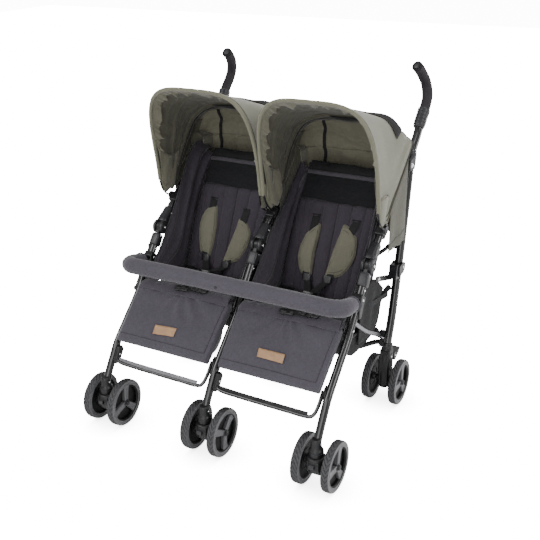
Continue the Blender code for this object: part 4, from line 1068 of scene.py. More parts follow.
# ================================================================= braces, links, pedals, catch
for sx, s in BAYS:
    lo, hi = 0.205, 0.480
    inner, outer = sx * 0.0190, sx * (FRAME_X - 0.0270)
    bars = {"front": ((outer, rear_y(lo) - 0.009, lo + 0.012), (inner, rear_y(hi) - 0.009, hi)),
            "back": ((inner, rear_y(lo) + 0.009, lo + 0.012), (outer, rear_y(hi) + 0.009, hi))}
    for tag, (p, q) in bars.items():
        ob = tube("brace_bar_%s_%s" % (s, tag), [p, lerp(p, q, 0.5), q], 0.0062, PAINT, "rear_frame", sides=16)
        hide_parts("cross_brace_%s_%s" % (s, tag))
        for k, (e, o) in enumerate(((p, q), (q, p))):
            e2 = lerp(e, o, 0.055)
            X = 0.0 if abs(e[0]) < 0.1 else sx * FRAME_X
            tube("brace_end_%s_%s_%d" % (s, tag, k), [lerp(e, o, -0.004), e2], [0.0086, 0.0080], PLASTIC, "rear_frame", sides=20, power=4, fillet=0.2)
            yy = rear_y(e[2])
            lathe("brace_pivot_%s_%s_%d" % (s, tag, k), [(0.0072, -0.006), (0.0072, 0.006)], (e[0] + (0.004 if e[0] < X else -0.004), yy, e[2]), (0, 1, 0), PLASTIC, "rear_frame", segs=20)
            x0, x1 = sorted((X, e[0]))
            prism("brace_bracket_%s_%s_%d" % (s, tag, k), [(yy - 0.0050, e[2] - 0.010), (yy + 0.0050, e[2] - 0.010), (yy + 0.0050, e[2] + 0.010), (yy - 0.0050, e[2] + 0.010)],
                  x0, x1, PLASTIC, "rear_frame", bevel=0.0015)
    pc = lerp(bars["front"][0], bars["front"][1], 0.5)
    lathe("brace_rivet_" + s, [(0.0055, -0.013), (0.0055, 0.0115), (0.0030, 0.0130)], (pc[0], (rear_y(lo) + rear_y(hi)) / 2, pc[2]), (0, -1, 0), RIVET, "rear_frame", segs=20)

    mid = sx * BAY_X
    low = [(inner, 0.484, 0.187), (sx * 0.045, 0.488, 0.179), (mid - 0.018, 0.480, 0.122), (mid + 0.018, 0.480, 0.122),
           (sx * (FRAME_X - 0.045), 0.488, 0.179), (outer, 0.484, 0.187)]
    low = sorted(low, key=lambda q: q[0])
    first = True
    for tag, seg in (("a", low[:3]), ("b", low[3:])):
        ob = tube("lower_bar_%s_%s" % (s, tag), seg, 0.0078, PAINT, "rear_frame", sides=18)
        if first:
            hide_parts("lower_brace_" + s)
            first = False
    prism("lower_hinge_" + s, [(0.4720, 0.112), (0.4880, 0.112), (0.4890, 0.130), (0.4830, 0.136), (0.4730, 0.136)], mid - 0.026, mid + 0.026, PLASTIC, "rear_frame", bevel=0.003)
    prism("lower_hinge_tab_" + s, [(0.4880, 0.118), (0.5050, 0.121), (0.5055, 0.125), (0.4890, 0.129)], mid - 0.015, mid + 0.015, GREY, "rear_frame", bevel=0.0015)
    for d in (-1, 1):
        tag = "a" if d < 0 else "b"
        lathe("lower_hinge_pin_%s_%s" % (s, tag), [(0.0045, 0), (0.0045, 0.0175), (0.0025, 0.0185)], (mid + d * 0.017, 0.4890, 0.1215), (0, -1, 0), RIVET, "rear_frame", segs=18)
    for tag, e in (("a", low[0]), ("b", low[-1])):
        prism("lower_bracket_%s_%s" % (s, tag), [(e[1] - 0.011, e[2] - 0.011), (e[1] + 0.009, e[2] - 0.011), (e[1] + 0.010, e[2] + 0.010), (e[1] - 0.006, e[2] + 0.012)],
              min(e[0], 0.0 if abs(e[0]) < 0.1 else sx * FRAME_X - (0.012 * sx)), max(e[0], 0.0 if abs(e[0]) < 0.1 else sx * FRAME_X - (0.012 * sx)), PLASTIC, "rear_frame", bevel=0.002)

    link = spline([(sx * 0.3205, 0.192, 0.3505), (sx * 0.3205, 0.225, 0.3510), (sx * 0.3205, 0.262, 0.3500), (sx * 0.3205, 0.300, 0.3220), (sx * 0.3205, 0.360, 0.2790),
                   (sx * 0.3205, LINK[0] - 0.045, LINK[1] + 0.030), (sx * 0.3205, *LINK)], 5)
    ob = tube("side_link_skin_" + s, link, 0.0062, STEEL, "side_links", sides=16, wide=0.42, ref=(1, 0, 0))
    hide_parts("side_link_" + s)
    keep_node("brake_pedal_" + s, GREY, 0.0022)
    rivet("side_link_rivet_" + s, sx * 0.3222, 0.197, 0.3500, sx, "side_links", 0.0042, 0.0026)
    rivet("side_link_rivet_mid_" + s, sx * 0.3222, 0.262, 0.3495, sx, "side_links", 0.0034, 0.0020)
    rivet("pedal_pin_" + s, sx * (FRAME_X + 0.0172), *PEDAL, sx, "brake_" + s, 0.0040, 0.0024)

keep_node("fold_catch", SATIN, 0.0018)
rivet("catch_pin_a", FRAME_X + 0.0165, *CATCH, 1, "catch", 0.0046, 0.0022)
rivet("catch_pin_b", FRAME_X - 0.0165, *CATCH, -1, "catch", 0.0046, 0.0022)

# ================================================================= footrest bars
for sx, s in BAYS:
    x0 = 0.0 if sx > 0 else -FRAME_X
    bar = [(x0 + 0.0165, 0.020, 0.206), (x0 + 0.034, 0.009, 0.197), (x0 + 0.10, 0.008, 0.194), (x0 + 0.24, 0.008, 0.192),
           (x0 + 0.296, 0.008, 0.192), (x0 + 0.314, 0.013, 0.198), (x0 + 0.3205, 0.030, 0.217), (x0 + 0.3205, 0.060, 0.247)]
    ob = tube("foot_bar_" + s, spline(bar, 5), 0.0054, PAINT, "front_legs", sides=18)
    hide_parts("footrest_bar_" + s)
    prism("foot_bracket_" + s, [(0.004, 0.190), (0.022, 0.190), (0.046, 0.222), (0.040, 0.236), (0.026, 0.236), (0.006, 0.206)], x0 + 0.0122, x0 + 0.0245, PLASTIC,
          "front_legs", bevel=0.003)
    rivet("foot_bracket_rivet_" + s, x0 + 0.0245, 0.025, 0.214, 1, "front_legs", 0.0036, 0.0020)
    rivet("foot_end_rivet_" + s, x0 + 0.3258, 0.056, 0.243, 1, "front_legs", 0.0032, 0.0018)
    prism("foot_end_plate_" + s, [(0.046, 0.228), (0.058, 0.222), (0.074, 0.252), (0.066, 0.262), (0.054, 0.256)], x0 + 0.3240, x0 + 0.3290, PLASTIC, "front_legs", bevel=0.0012)
    # painted reflection: the left strip is given bright steel in place of the black paint it shares with the right one
    mat = STEEL if sx < 0 else PAINT
    ln = [(x0 + 0.030, 0.012, 0.2035), (x0 + 0.10, 0.0095, 0.2020), (x0 + 0.20, 0.0095, 0.2005), (x0 + 0.300, 0.0095, 0.1995)]
    strap("foot_strip_" + s, spline(ln, 4), 0.013 if sx < 0 else 0.011, 0.0024, mat, "front_legs", across=(0, 0.5, 1))


# ================================================================= soft goods: helpers
def resample(points, n, closed=False):
    """n + 1 points spread evenly by length along a line."""
    p = [Vector(q) for q in points]
    if closed:
        p.append(p[0].copy())
    acc = [0.0]
    for a, b in zip(p[:-1], p[1:]):
        acc.append(acc[-1] + (b - a).length)
    out, i = [], 0
    for k in range(n if closed else n + 1):
        want = acc[-1] * k / n
        while i < len(p) - 2 and acc[i + 1] < want:
            i += 1
        out.append(p[i].lerp(p[i + 1], (want - acc[i]) / max(acc[i + 1] - acc[i], 1e-9)))
    return out


def pick(points, t):
    """The point a share t along evenly spread points."""
    f = min(max(t, 0.0), 1.0) * (len(points) - 1)
    i = min(int(f), len(points) - 2)
    return Vector(points[i]).lerp(Vector(points[i + 1]), f - i)


def pad_from_outline(name, outline, at, height, mat, body, edge=0.25, rings=12, n=96, base=0.0, seam=None, piping=None, piping_r=0.0016,
                     lump=0.0006, seed=0.0):
    """A stuffed pad: a crowned top over a closed outline, edges pulled in, with an optional seam ring.
    outline is points in a flat (u, v) plane, and at(u, v, d) gives their place d above it."""
    o = resample([(a, b, 0) for a, b in outline], n, closed=True)
    smooth = []
    for k in range(n):
        q = Vector((0, 0, 0))
        for j, w in ((-2, 1), (-1, 2), (0, 3), (1, 2), (2, 1)):
            q += o[(k + j) % n] * w
        smooth.append(q / 9.0)
    c = sum(smooth, Vector((0, 0, 0))) / n
    rows = []
    for r in range(rings + 1):
        s = 1.0 - r / rings
        s = max(s, 0.02)
        prof = (1 - s ** 2.6) ** 0.6 if s < 1 else 0.0
        h = height * (edge + (1 - edge) * prof) if r else height * edge * 0.5
        row = []
        for q in smooth:
            p = c + (q - c) * s
            dd = h + lump * wob((p.x, p.y, 0), 60, seed)
            if seam is not None:
                dd -= 0.0016 * math.exp(-((s - seam) / 0.03) ** 2)
            row.append(at(p.x, p.y, base + dd))
        rows.append(row)
    under = []
    for r in range(4):
        s = 1.0 - 0.3 * r
        under.append([at((c + (q - c) * max(s, 0.08)).x, (c + (q - c) * max(s, 0.08)).y, base + (0.0 if r else height * edge * 0.2)) for q in smooth])
    rows = under[::-1] + rows
    ob = surface(name, rows, mat, body, wrap=True, caps=True, angle=60)
    if piping is not None:
        line = [at(q.x, q.y, base + height * edge * 0.5) for q in smooth]
        ring_tube(name + "_piping", line, piping_r, piping, body)
    return ob, smooth


def ring_tube(name, line, r, mat, body, sides=8, wide=1.0):
    """A thin roll of piping along a closed line."""
    p = [Vector(q) for q in line]
    n = len(p)
    verts, faces, uvs = [], [], []
    u = None
    for i in range(n):
        t = (p[(i + 1) % n] - p[i - 1]).normalized()
        if u is None:
            u = Vector((1, 0, 0)) if abs(t.x) < 0.8 else Vector((0, 0, 1))
        u = (u - t * u.dot(t)).normalized()
        w = t.cross(u)
        verts += [p[i] + r * (wide * math.cos(2 * math.pi * k / sides) * u + math.sin(2 * math.pi * k / sides) * w) for k in range(sides)]
    acc = 0.0
    for i in range(n):
        i2 = (i + 1) % n
        step = (p[i2] - p[i]).length
        for k in range(sides):
            k2 = (k + 1) % sides
            faces.append((i * sides + k, i * sides + k2, i2 * sides + k2, i2 * sides + k))
            a, b = k * 2 * math.pi * r / sides, (k + 1) * 2 * math.pi * r / sides
            uvs += [(a, acc), (b, acc), (b, acc + step), (a, acc + step)]
        acc += step
    return finish_mesh(name, verts, faces, mat, body, uvs, closed=True)


# ================================================================= bumper
half = [(0.3422, 0.197, 0.4435), (0.3410, 0.170, 0.4485), (0.3375, 0.136, 0.4555), (0.3165, 0.112, 0.4625), (0.2850, 0.102, 0.4670), (0.150, 0.100, 0.4695)]
core = [(-x, y, z) for x, y, z in half] + [(0.0, 0.100, 0.4695)] + [(x, y, z) for x, y, z in reversed(half)]
fine = resample(spline(core, 10), 150)
rad = []
for i, p in enumerate(fine):
    e = min(i, 150 - i) / 8.0
    r = 0.0232 * (0.72 + 0.28 * min(1.0, e) ** 0.5) + 0.0005 * wob(p, 25) + 0.0003 * wob(p, 90, 2)
    bend = max(0.0, 1.0 - abs(abs(p.x) - 0.325) / 0.03)
    r += 0.0007 * bend * math.sin(i * 2.1)
    rad.append(r)
ob = tube("bumper_cover", fine, rad, HEATHER, "bumper", sides=48, fillet=0.12, ref=(0, 0, 1))
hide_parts("bumper_bar")
bump_seam = []
pf, fr = frames_of(fine, (0, 0, 1))
for i in range(3, 148):
    t, u, w = fr[i]
    back = w if w.y > 0 or abs(w.y) < 0.3 and w.x * pf[i].x < 0 else -w
    bump_seam.append(pf[i] + (u * -0.55 + back * 0.83).normalized() * (rad[i] + 0.0002))
tube("bumper_seam", bump_seam, 0.0009, SEAM, "bumper", sides=6)
for sx, s in BAYS:
    tube("bumper_end_" + s, [(sx * 0.3425, 0.2165, 0.4404), (sx * 0.3425, 0.2060, 0.4422), (sx * 0.3422, 0.2010, 0.4430), (sx * 0.3421, 0.1940, 0.4441)],
         [0.0082, 0.0090, 0.0150, 0.0172], PLASTIC, "bumper", sides=28, fillet=0.2)
    tube("bumper_cuff_" + s, [(sx * 0.3421, 0.1975, 0.4434), (sx * 0.3417, 0.1880, 0.4450)], [0.0196, 0.0228], HEATHER_3D, "bumper", sides=36, fillet=0.15)
lathe("bumper_stud", [(0.0048, -0.001), (0.0048, 0.0006), (0.0036, 0.0014), (0.0012, 0.0010)], (-0.010, 0.0768, 0.4685), (0.0, -1.0, -0.05), SEAM, "bumper", segs=20)


# ================================================================= canopies
FRONT_TIP, FRONT_TOP = (0.331, 0.655), (0.266, 0.950)
TIPS = [FRONT_TIP, (0.350, 0.629), (0.385, 0.6120), (0.420, 0.645), (0.462, 0.681), (0.503, 0.719), (0.540, 0.756)]
TOPS = [FRONT_TOP, (0.330, 0.934), (0.398, 0.914), (0.465, 0.891), (0.520, 0.869), (0.566, 0.843), (0.594, 0.806)]
TIPS_F = spline([(0, y, z) for y, z in TIPS], 12)
TOPS_F = spline([(0, y, z) for y, z in TOPS], 12)


def rail_z(y):
    return KNEE[1] + (min(y, TOP[0]) - KNEE[0]) * (TOP[1] - KNEE[1]) / (TOP[0] - KNEE[0])


def canopy_row(sx, v, inset=0.0, n=72):
    """n + 1 evenly spread points of the cloth's arch at station v, inner foot to outer foot."""
    tip = pick(TIPS_F, v / 6.0)
    top = pick(TOPS_F, v / 6.0)
    raw = []
    for k in range(241):
        th = math.pi * k / 240
        # points close together near the feet
        th = math.pi * (0.5 - 0.5 * math.cos(th))
        c_, s_ = math.cos(th), math.sin(th)
        h = max(s_, 0.0) ** 0.5
        u = abs(c_) ** 0.5
        sgn = -1.0 if c_ > 0 else 1.0
        y = tip.y + (top.y - tip.y) * h ** 1.4
        z = tip.z + (top.z - inset - tip.z) * h
        b = min(1.0, max(0.0, (z - rail_z(y) - 0.034) / 0.07))
        xin = 0.0128 + (0.0038 - 0.0128) * b + inset
        xout = 0.3556 + (0.3530 - 0.3556) * b - inset
        spread = 1.0 - (1.0 - u) * b
        raw.append((sx * ((xin + xout) / 2 + sgn * spread * (xout - xin) / 2), y, z))
    return resample(raw, n)


def band_v(v, t):
    """The mid bow's line: at v on the roof, further forward down the sides."""
    return v - 2.4 * abs(2.0 * t - 1.0) ** 3


def canopy_relief(sx, v, t, p, seed):
    """How far the cloth gives inwards, in metres: a sag between the bows and soft creases near the rear bow."""
    env = math.sin(math.pi * min(max(t, 0), 1)) ** 0.6
    sag = 0.0050 * math.sin(math.pi * min(v / 4.8, 1.0)) * env
    rear = smoothstep((v - 2.4) / 2.4)
    creases = 0.0026 * rear * env * math.sin(t * 46.0 + 2.0 * wob((t * 3, v * 0.4, seed), 1.0, seed)) * (0.5 + 0.5 * wob((t * 9.0, v * 0.3, 0), 1.0, seed + 3))
    soft = 0.0018 * wob((p.x, p.y * 0.7, p.z), 11.0, seed) * env
    return sag + creases + soft


def blend_canopy(ob):
    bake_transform(ob)
    return ob


def canopy_point(sx, v, t, inset, seed, row_cache={}):
    key = (sx, round(v, 3), round(inset, 4))
    if key not in row_cache:
        row_cache[key] = canopy_row(sx, v, inset)
    p = pick(row_cache[key], t)
    c = Vector((sx * BAY_X, p.y + 0.02, 0.70))
    d = c - p
    d.y *= 0.3
    d.normalize()
    return p + d * canopy_relief(sx, v, t, p, seed)


for sx, s in BAYS:
    seed = 1.3 if sx > 0 else 4.7
    N, M = 96, 40
    # -------- main sheet, its inner face in the khaki darkened as painted shade
    rows = [[canopy_point(sx, 6.0 * i / M, k / N, 0.0, seed) for k in range(N + 1)] for i in range(M + 1)]
    ob = surface("canopy_cloth_" + s, [r if sx > 0 else r[::-1] for r in rows], KHAKI, None, thick=0.0012, inner=KHAKI_SHADED)
    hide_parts("canopy_fabric_" + s)
    shell, shell_rows = ob, rows
    extra = []
    # -------- front casing over the bow
    front = [p + Vector((0, -0.0045, 0.0)) for p in resample(canopy_row(sx, 0.0, 0.001), 110)]
    ob = tube("canopy_casing_" + s, front, [0.0052 + 0.0003 * wob(p, 40, seed) for p in front], KHAKI, None, sides=16, fillet=0.3)
    extra.append(ob)
    groove = [canopy_point(sx, 0.18, k / 110, -0.0010, seed) for k in range(1, 110)]
    extra.append(tube("canopy_casing_seam_" + s, groove, 0.0008, KHAKI_EDGE, None, sides=6))
    # -------- gathered hem inside the front edge, with pointed pleats, in the khaki a little darkened as painted shade
    f0, f1 = 0.125, 0.875
    hem = []
    H = 320
    for j in range(11):
        w = j / 10.0
        row = []
        for k in range(H + 1):
            t = f0 + (f1 - f0) * k / H
            ph = t * 92.0 + 4.0 * wob((t * 11, 0, seed), 1.0, seed)
            pleat = (1.0 - abs(math.sin(ph * 0.5))) ** 1.6
            small = (1.0 - abs(math.sin(ph * 1.15 + 1.0))) ** 1.4
            reach = 0.50 + 0.16 * wob((t * 16, 2, 0), 1.0, seed + 4) + 0.16 * pleat
            p = canopy_point(sx, 0.02 + reach * w, t, 0.0040, seed)
            c = Vector((sx * BAY_X, p.y, 0.72))
            d = (c - p).normalized()
            amp = w ** 1.3 * (0.0030 + 0.0150 * pleat * (0.7 + 0.5 * wob((t * 22, 1, 0), 1.0, seed + 1)) + 0.0040 * small)
            p = p + d * (0.0006 + amp)
            row.append(p)
        hem.append(row)
    ob = surface("canopy_hem_" + s, hem, KHAKI_HALF_SHADE, None, thick=0.0010, angle=70)
    hem_ob, hem_rows = ob, hem
    # -------- loose lining with long folds along the arch, in the khaki darkened as painted shade
    lin = []
    for i in range(81):
        row = []
        for k in range(141):
            t = 0.03 + 0.94 * k / 140.0
            v = 0.50 + (band_v(4.70, t) - 0.50) * i / 80.0
            p = canopy_point(sx, v, t, 0.0030, seed)
            c = Vector((sx * BAY_X, p.y, 0.72))
            d = (c - p).normalized()
            side = min(1.0, abs(t - 0.5) / 0.22)
            env = math.sin(math.pi * min(1.0, (v - 0.45) / 4.25)) ** 0.5 * min(1.0, min(t, 1 - t) / 0.08)
            ph = v * 7.0 + 6.5 * wob((t * 3.2, v * 0.6, 0), 1.0, seed) + 1.6 * math.sin(t * 9.0)
            ridge = (0.5 + 0.5 * math.sin(ph)) ** 2
            across = (1.0 - abs(math.sin(t * 46.0 + 3.0 * wob((t * 7, 0, 1), 1.0, seed)))) ** 2 * math.exp(-max(0.0, v - 0.5) / 0.8)
            crumple = wob((p.x * 1.0, p.y * 1.6, p.z), 26.0, seed + 6)
            p = p + d * (0.0010 + env * (0.0042 * ridge * (0.25 + 0.75 * side) * (0.7 + 0.6 * wob((t * 9, v * 1.2, 3), 1.0, seed)) + 0.0060 * across + 0.0024 * (1 + crumple)))
            row.append(p)
        lin.append(row)
    lining = surface("canopy_lining_" + s, lin, KHAKI_SHADED, None, thick=0.0008, angle=80)
    # -------- tip pockets inside, with their seams, in the khaki a little darkened as painted shade
    for tag, a, b in (("inner", 0.0, f0 + 0.006), ("outer", 1.0 - f0 - 0.006, 1.0)):
        rws = []
        for j in range(14):
            v = 0.02 + 2.7 * j / 13.0
            rws.append([canopy_point(sx, v, a + (b - a) * k / 18.0, 0.0085 + 0.0022 * math.sin(v * 5.0 + 0.25 * k), seed) for k in range(19)])
        ob = surface("tip_pocket_%s_%s" % (tag, s), rws, KHAKI_HALF_SHADE, None, thick=0.0012)
        extra.append(ob)
        edge = b if tag == "inner" else a
        seam = [canopy_point(sx, 0.05 + 2.6 * j / 24.0, edge, 0.0092, seed) for j in range(25)]
        extra.append(tube("tip_seam_%s_%s" % (tag, s), seam, 0.0011, KHAKI_EDGE, None, sides=6))
    # -------- rear bow's band inside
    rws = []
    for v, d in ((4.62, 0.0040), (4.70, 0.0070), (4.84, 0.0084), (5.00, 0.0084), (5.12, 0.0068), (5.18, 0.0040)):
        rws.append([canopy_point(sx, band_v(v, k / N), k / N, d + 0.0030, seed) for k in range(N + 1)])
    band = surface("canopy_band_" + s, rws, OLIVE_BAND, None, thick=0.0010)
    band_rows = rws
    # a second, softer fold in front of it, in the khaki darkened as painted shade
    rws = []
    for j, (v, d) in enumerate(((4.02, 0.0070), (4.14, 0.0100), (4.28, 0.0118), (4.44, 0.0118), (4.58, 0.0090), (4.66, 0.0060))):
        rws.append([canopy_point(sx, band_v(v + 0.05 * wob((k / 9.0, 0, 0), 1.0, seed), 0.06 + 0.88 * k / N), 0.06 + 0.88 * k / N, d, seed) for k in range(N + 1)])
    extra.append(surface("canopy_fold_" + s, rws, KHAKI_SHADED, None, thick=0.0010))
    # -------- black roof flap on the rear top
    rws = []
    for j in range(17):
        v = 3.55 + 2.45 * j / 16.0
        w = min(1.0, j / 2.0)
        lift = 0.0130 * math.sin(math.pi * min(1.0, j / 13.0)) ** 0.8
        rws.append([canopy_point(sx, v, 0.22 + 0.55 * k / 48.0, -0.0030 - lift * math.sin(math.pi * k / 48.0) ** 0.5 - 0.002 * wob((k / 7.0, j / 5.0, 0), 1.0, seed), seed)
                    for k in range(49)])
    flap = surface("roof_flap_" + s, rws, BLACK_CLOTH, None, thick=0.0010)
    flap_rows = rws
    ed = rws[0]
    extra.append(tube("roof_flap_edge_" + s, [p + Vector((0, 0, 0.0008)) for p in ed], 0.0014, OLIVE_BAND, None, sides=8))
    # a black inner patch under the flap, seen from inside just above the band
    rws = [[canopy_point(sx, 3.95 + 0.75 * j / 6.0, 0.40 + 0.26 * k / 30.0 * (1.0 - 0.12 * j / 6.0), 0.0135, seed) for k in range(31)] for j in range(7)]
    extra.append(surface("roof_patch_" + s, rws, BLACK_CLOTH, None, thick=0.0008))
    # -------- double piping along the rear lower edges, and round the whole edge
    for tag, flip in (("inner", False), ("outer", True)):
        for k, dist in enumerate((0.006, 0.0165)):
            line = []
            for i in range(41):
                v = 1.85 + (6.0 - 1.85) * i / 40.0
                t = dist / 0.78
                t = 1.0 - t if flip else t
                line.append(canopy_point(sx, v, t, -0.0010, seed))
            extra.append(tube("side_piping_%s_%d_%s" % (tag, k, s), line, 0.0013, OLIVE_BAND, None, sides=8))
        line = [canopy_point(sx, 6.0 * i / 60.0, 1.0 if flip else 0.0, 0.0, seed) for i in range(61)]
        extra.append(tube("lower_binding_%s_%s" % (tag, s), line, 0.0019, KHAKI, None, sides=8))
    line = [canopy_point(sx, 6.0, k / 80.0, 0.0, seed) for k in range(81)]
    extra.append(tube("rear_binding_" + s, line, 0.0020, KHAKI_EDGE, None, sides=8))

    # -------- rear panel: the upper part closes the arch, the lower part hangs on the backrest; both in the khaki a little darkened as painted shade
    c = sx * BAY_X
    NP = 96

    def panel_point(q, g):
        u = -1.0 + 2.0 * q
        a = canopy_point(sx, 5.30, 0.010 + 0.980 * q, 0.0030, seed)
        sgn = 1.0 if a.x > c else -1.0
        b = Vector((c + sgn * 0.149 * abs(u), 0.535, 0.520 + 0.004 * math.cos(u * 14)))
        p = a.lerp(b, g)
        limit = 0.1490 - 0.0055 * smoothstep((p.z - 0.690) / 0.012) + 0.0365 * smoothstep((p.z - 0.746) / 0.012)
        p.x = c + sgn * min(abs(p.x - c), limit)
        p.y += 0.030 * (1 - u ** 4) * math.sin(math.pi * g)
        soft = math.sin(math.pi * min(1.0, g / 0.12) / 2)
        fold = (0.5 + 0.5 * math.sin(u * 17.0 + 7.0 * g * u + 2.2 * wob((u * 3, g * 1.4, 0), 1.0, seed))) ** 2
        slant = (0.5 + 0.5 * math.sin(u * 7.0 - 21.0 * g + 3.0 * wob((u * 2, g * 2, 4), 1.0, seed + 5))) ** 3
        p.y += soft * (0.0085 * fold * (0.4 + 0.6 * g) + 0.0115 * slant * (1.0 - g) + 0.006 * wob((u * 2.5, g * 2.5, 0), 1.0, seed + 2) + 0.0028 * wob((u * 9, g * 9, 0), 1.0, seed + 8))
        return p

    def panel_share(q, z):
        """How far down column q the height z lies, from 0 at the arch to 1 at the hem."""
        top = canopy_point(sx, 5.30, 0.010 + 0.980 * q, 0.0030, seed).z
        return min(1.0, max(0.0, (top - z) / (top - 0.520)))

    pr = [[panel_point(k / NP, max(0.015, panel_share(k / NP, 0.726)) * j / 22.0) for k in range(NP + 1)] for j in range(23)]
    lower = []
    for j in range(35):
        row = []
        for k in range(NP + 1):
            g0 = panel_share(k / NP, 0.744)
            p = panel_point(k / NP, g0 + (1.0 - g0) * j / 34.0)
            k_in = smoothstep((p.z - 0.712) / 0.012)
            p.y -= 0.0016 * k_in
            p.x = c + (p.x - c) * (1.0 - 0.014 * k_in)
            row.append(p)
        lower.append(row)
    panel = surface("rear_panel_" + s, pr, KHAKI_HALF_SHADE, None, thick=0.0010, angle=80)
    panel_rows = pr
    back_panel = surface("back_panel_" + s, lower, KHAKI_HALF_SHADE, None, thick=0.0010, angle=80)
    declare_sheet(back_panel, lower)
    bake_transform(back_panel)
    # cloth ears in front of the top joints, from the panel's sides to the canopy's walls, in the khaki darkened as
    # painted shade
    for tag, sg, wall in (("inner", -sx, 0.0136), ("outer", sx, 0.3535)):
        curves = []
        if tag == "inner":
            for z in (0.650, 0.662, 0.674, 0.686):
                inn = panel_point(0.035, panel_share(0.035, z))
                curves.append((Vector((c + sg * 0.1420, inn.y - 0.004, z)), Vector((c + sg * 0.1535, 0.5465, z)), Vector((sx * wall, 0.5000, z))))
        for j in range(15):
            w = j / 14.0
            t = 0.004 + 0.150 * w
            q = 0.030 + 0.130 * w
            out = canopy_point(sx, 4.95, 1.0 - t if tag == "outer" else t, 0.0036, seed)
            q = 1.0 - q if tag == "outer" else q
            inn = panel_point(q, max(0.015, panel_share(q, out.z)))
            low = Vector((c + sg * 0.1535, 0.5465, max(out.z, 0.728)))
            k = smoothstep((out.z - 0.742) / 0.020)
            p0 = Vector((inn.x, inn.y - 0.0030, max(inn.z, 0.716) if tag == "outer" else inn.z))
            curves.append((p0, low * (1.0 - k) + (p0 + out) * (0.5 * k), out))
        rws = [[p0 * (1 - h) ** 2 + p1 * (2 * h * (1 - h)) + p2 * h ** 2 for h in [k / 16.0 for k in range(17)]] for p0, p1, p2 in curves]
        ear = surface("panel_ear_%s_%s" % (tag, s), rws, KHAKI_SHADED, None, thick=0.0010)
        declare_sheet(ear, rws)
        extra.append(ear)
    # a black tape down the middle of the panel
    tape_x = -0.287 if sx < 0 else 0.077

    def tape_line(rows):
        line = []
        for r_ in rows:
            for a, b in zip(r_[:-1], r_[1:]):
                if (a.x - tape_x) * (b.x - tape_x) <= 0 and a.x != b.x:
                    line.append(a.lerp(b, (tape_x - a.x) / (b.x - a.x)) + Vector((0, -0.0040, 0)))
                    break
        return line

    tape = strap("panel_tape_" + s, tape_line(pr), 0.0100, 0.0012, WEB, None, across=(1, 0, 0))
    ob = strap("back_tape_" + s, tape_line(lower[:20]), 0.0100, 0.0012, WEB, None, across=(1, 0, 0))
    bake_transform(ob)
    # -------- side skirts below the rear lower edges, in the khaki darkened as painted shade
    for tag, flip in (("inner", False), ("outer", True)):
        rws = []
        for j in range(15):
            g = j / 14.0
            row = []
            for i in range(37):
                q = i / 36.0
                v = 2.75 + 3.15 * q
                a = canopy_point(sx, v, 1.0 if flip else 0.0, 0.0004, seed)
                yb = 0.402 + (0.541 - 0.402) * q
                zb = 0.5165 - 0.008 * q
                xb = (0.3545 if flip else 0.0135)
                b = Vector((sx * xb, yb, zb + 0.002 * math.sin(q * 17)))
                p = a.lerp(b, g)
                p.x = sx * (abs(a.x) + (xb - abs(a.x)) * g) + sx * 0.0016 * math.sin(q * 9.0 + g * 2) * g
                row.append(p)
            rws.append(row)
        ob = surface("side_skirt_%s_%s" % (tag, s), rws, KHAKI_SHADED, None, thick=0.0010)
        declare_sheet(ob, rws)
        blend_canopy(ob)
        extra.append(tube("skirt_hem_%s_%s" % (tag, s), rws[-1], 0.0018, KHAKI_EDGE, None, sides=8))
        extra.append(tube("skirt_piping_%s_%s" % (tag, s), [p + Vector((sx * 0.0010 * (1 if flip else -1), 0, 0)) for p in rws[-3]], 0.0012, OLIVE_BAND, None, sides=8))

    for ob in extra:
        blend_canopy(ob)
    declare_sheet(shell, shell_rows)
    declare_sheet(hem_ob, hem_rows)
    declare_sheet(lining, lin)
    declare_sheet(band, band_rows)
    declare_sheet(flap, flap_rows)
    declare_sheet(panel, panel_rows)
    for ob in (shell, hem_ob, lining, band, flap):
        blend_canopy(ob)
    for ob in (panel, tape):
        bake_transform(ob)

    # -------- bow, its legs and the clips on the rails (they turn with the canopy)
    core_line = [p + Vector((0, -0.0045, 0.0)) for p in resample(canopy_row(sx, 0.0, 0.001), 60)]
    ob = tube("bow_core_" + s, core_line, 0.0030, PLASTIC, "canopy_" + s, sides=10)
    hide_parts("canopy_bow_" + s)
    for tag, foot_x, clip_x, d in (("inner", 0.0072, 0.0142, -1), ("outer", 0.3513, 0.3538, 1)):
        leg = [(sx * foot_x, 0.3245, 0.6600), (sx * (foot_x * 0.6 + clip_x * 0.4), 0.334, 0.630), (sx * clip_x, 0.3560, 0.604), (sx * clip_x, *CANOPY)]
        tube("bow_leg_%s_%s" % (tag, s), spline(leg, 4), 0.0029, PLASTIC, "canopy_" + s, sides=12, wide=0.8)
        lathe("bow_clip_%s_%s" % (tag, s), [(0.0120, -0.0030), (0.0124, 0.0), (0.0118, 0.0030), (0.0090, 0.0038), (0.0060, 0.0040), (0.0045, 0.0052), (0.0020, 0.0056)],
              (sx * clip_x, *CANOPY), (sx if tag == "outer" else -sx, 0, 0), SATIN, "canopy_" + s, segs=32)
        sleeve = spline([(sx * foot_x, 0.3605, 0.6920), (sx * foot_x, 0.3595, 0.6640), (sx * (foot_x * 0.8 + clip_x * 0.2), 0.3575, 0.6380), (sx * (foot_x * 0.5 + clip_x * 0.5), 0.3560, 0.6080)], 7)
        ob = tube("bow_sleeve_%s_%s" % (tag, s), sleeve, [0.0330 - 0.0185 * (k / (len(sleeve) - 1)) ** 1.7 for k in range(len(sleeve))], KHAKI, None, sides=32, wide=0.215, fillet=0.5, ref=(1, 0, 0))
        blend_canopy(ob)
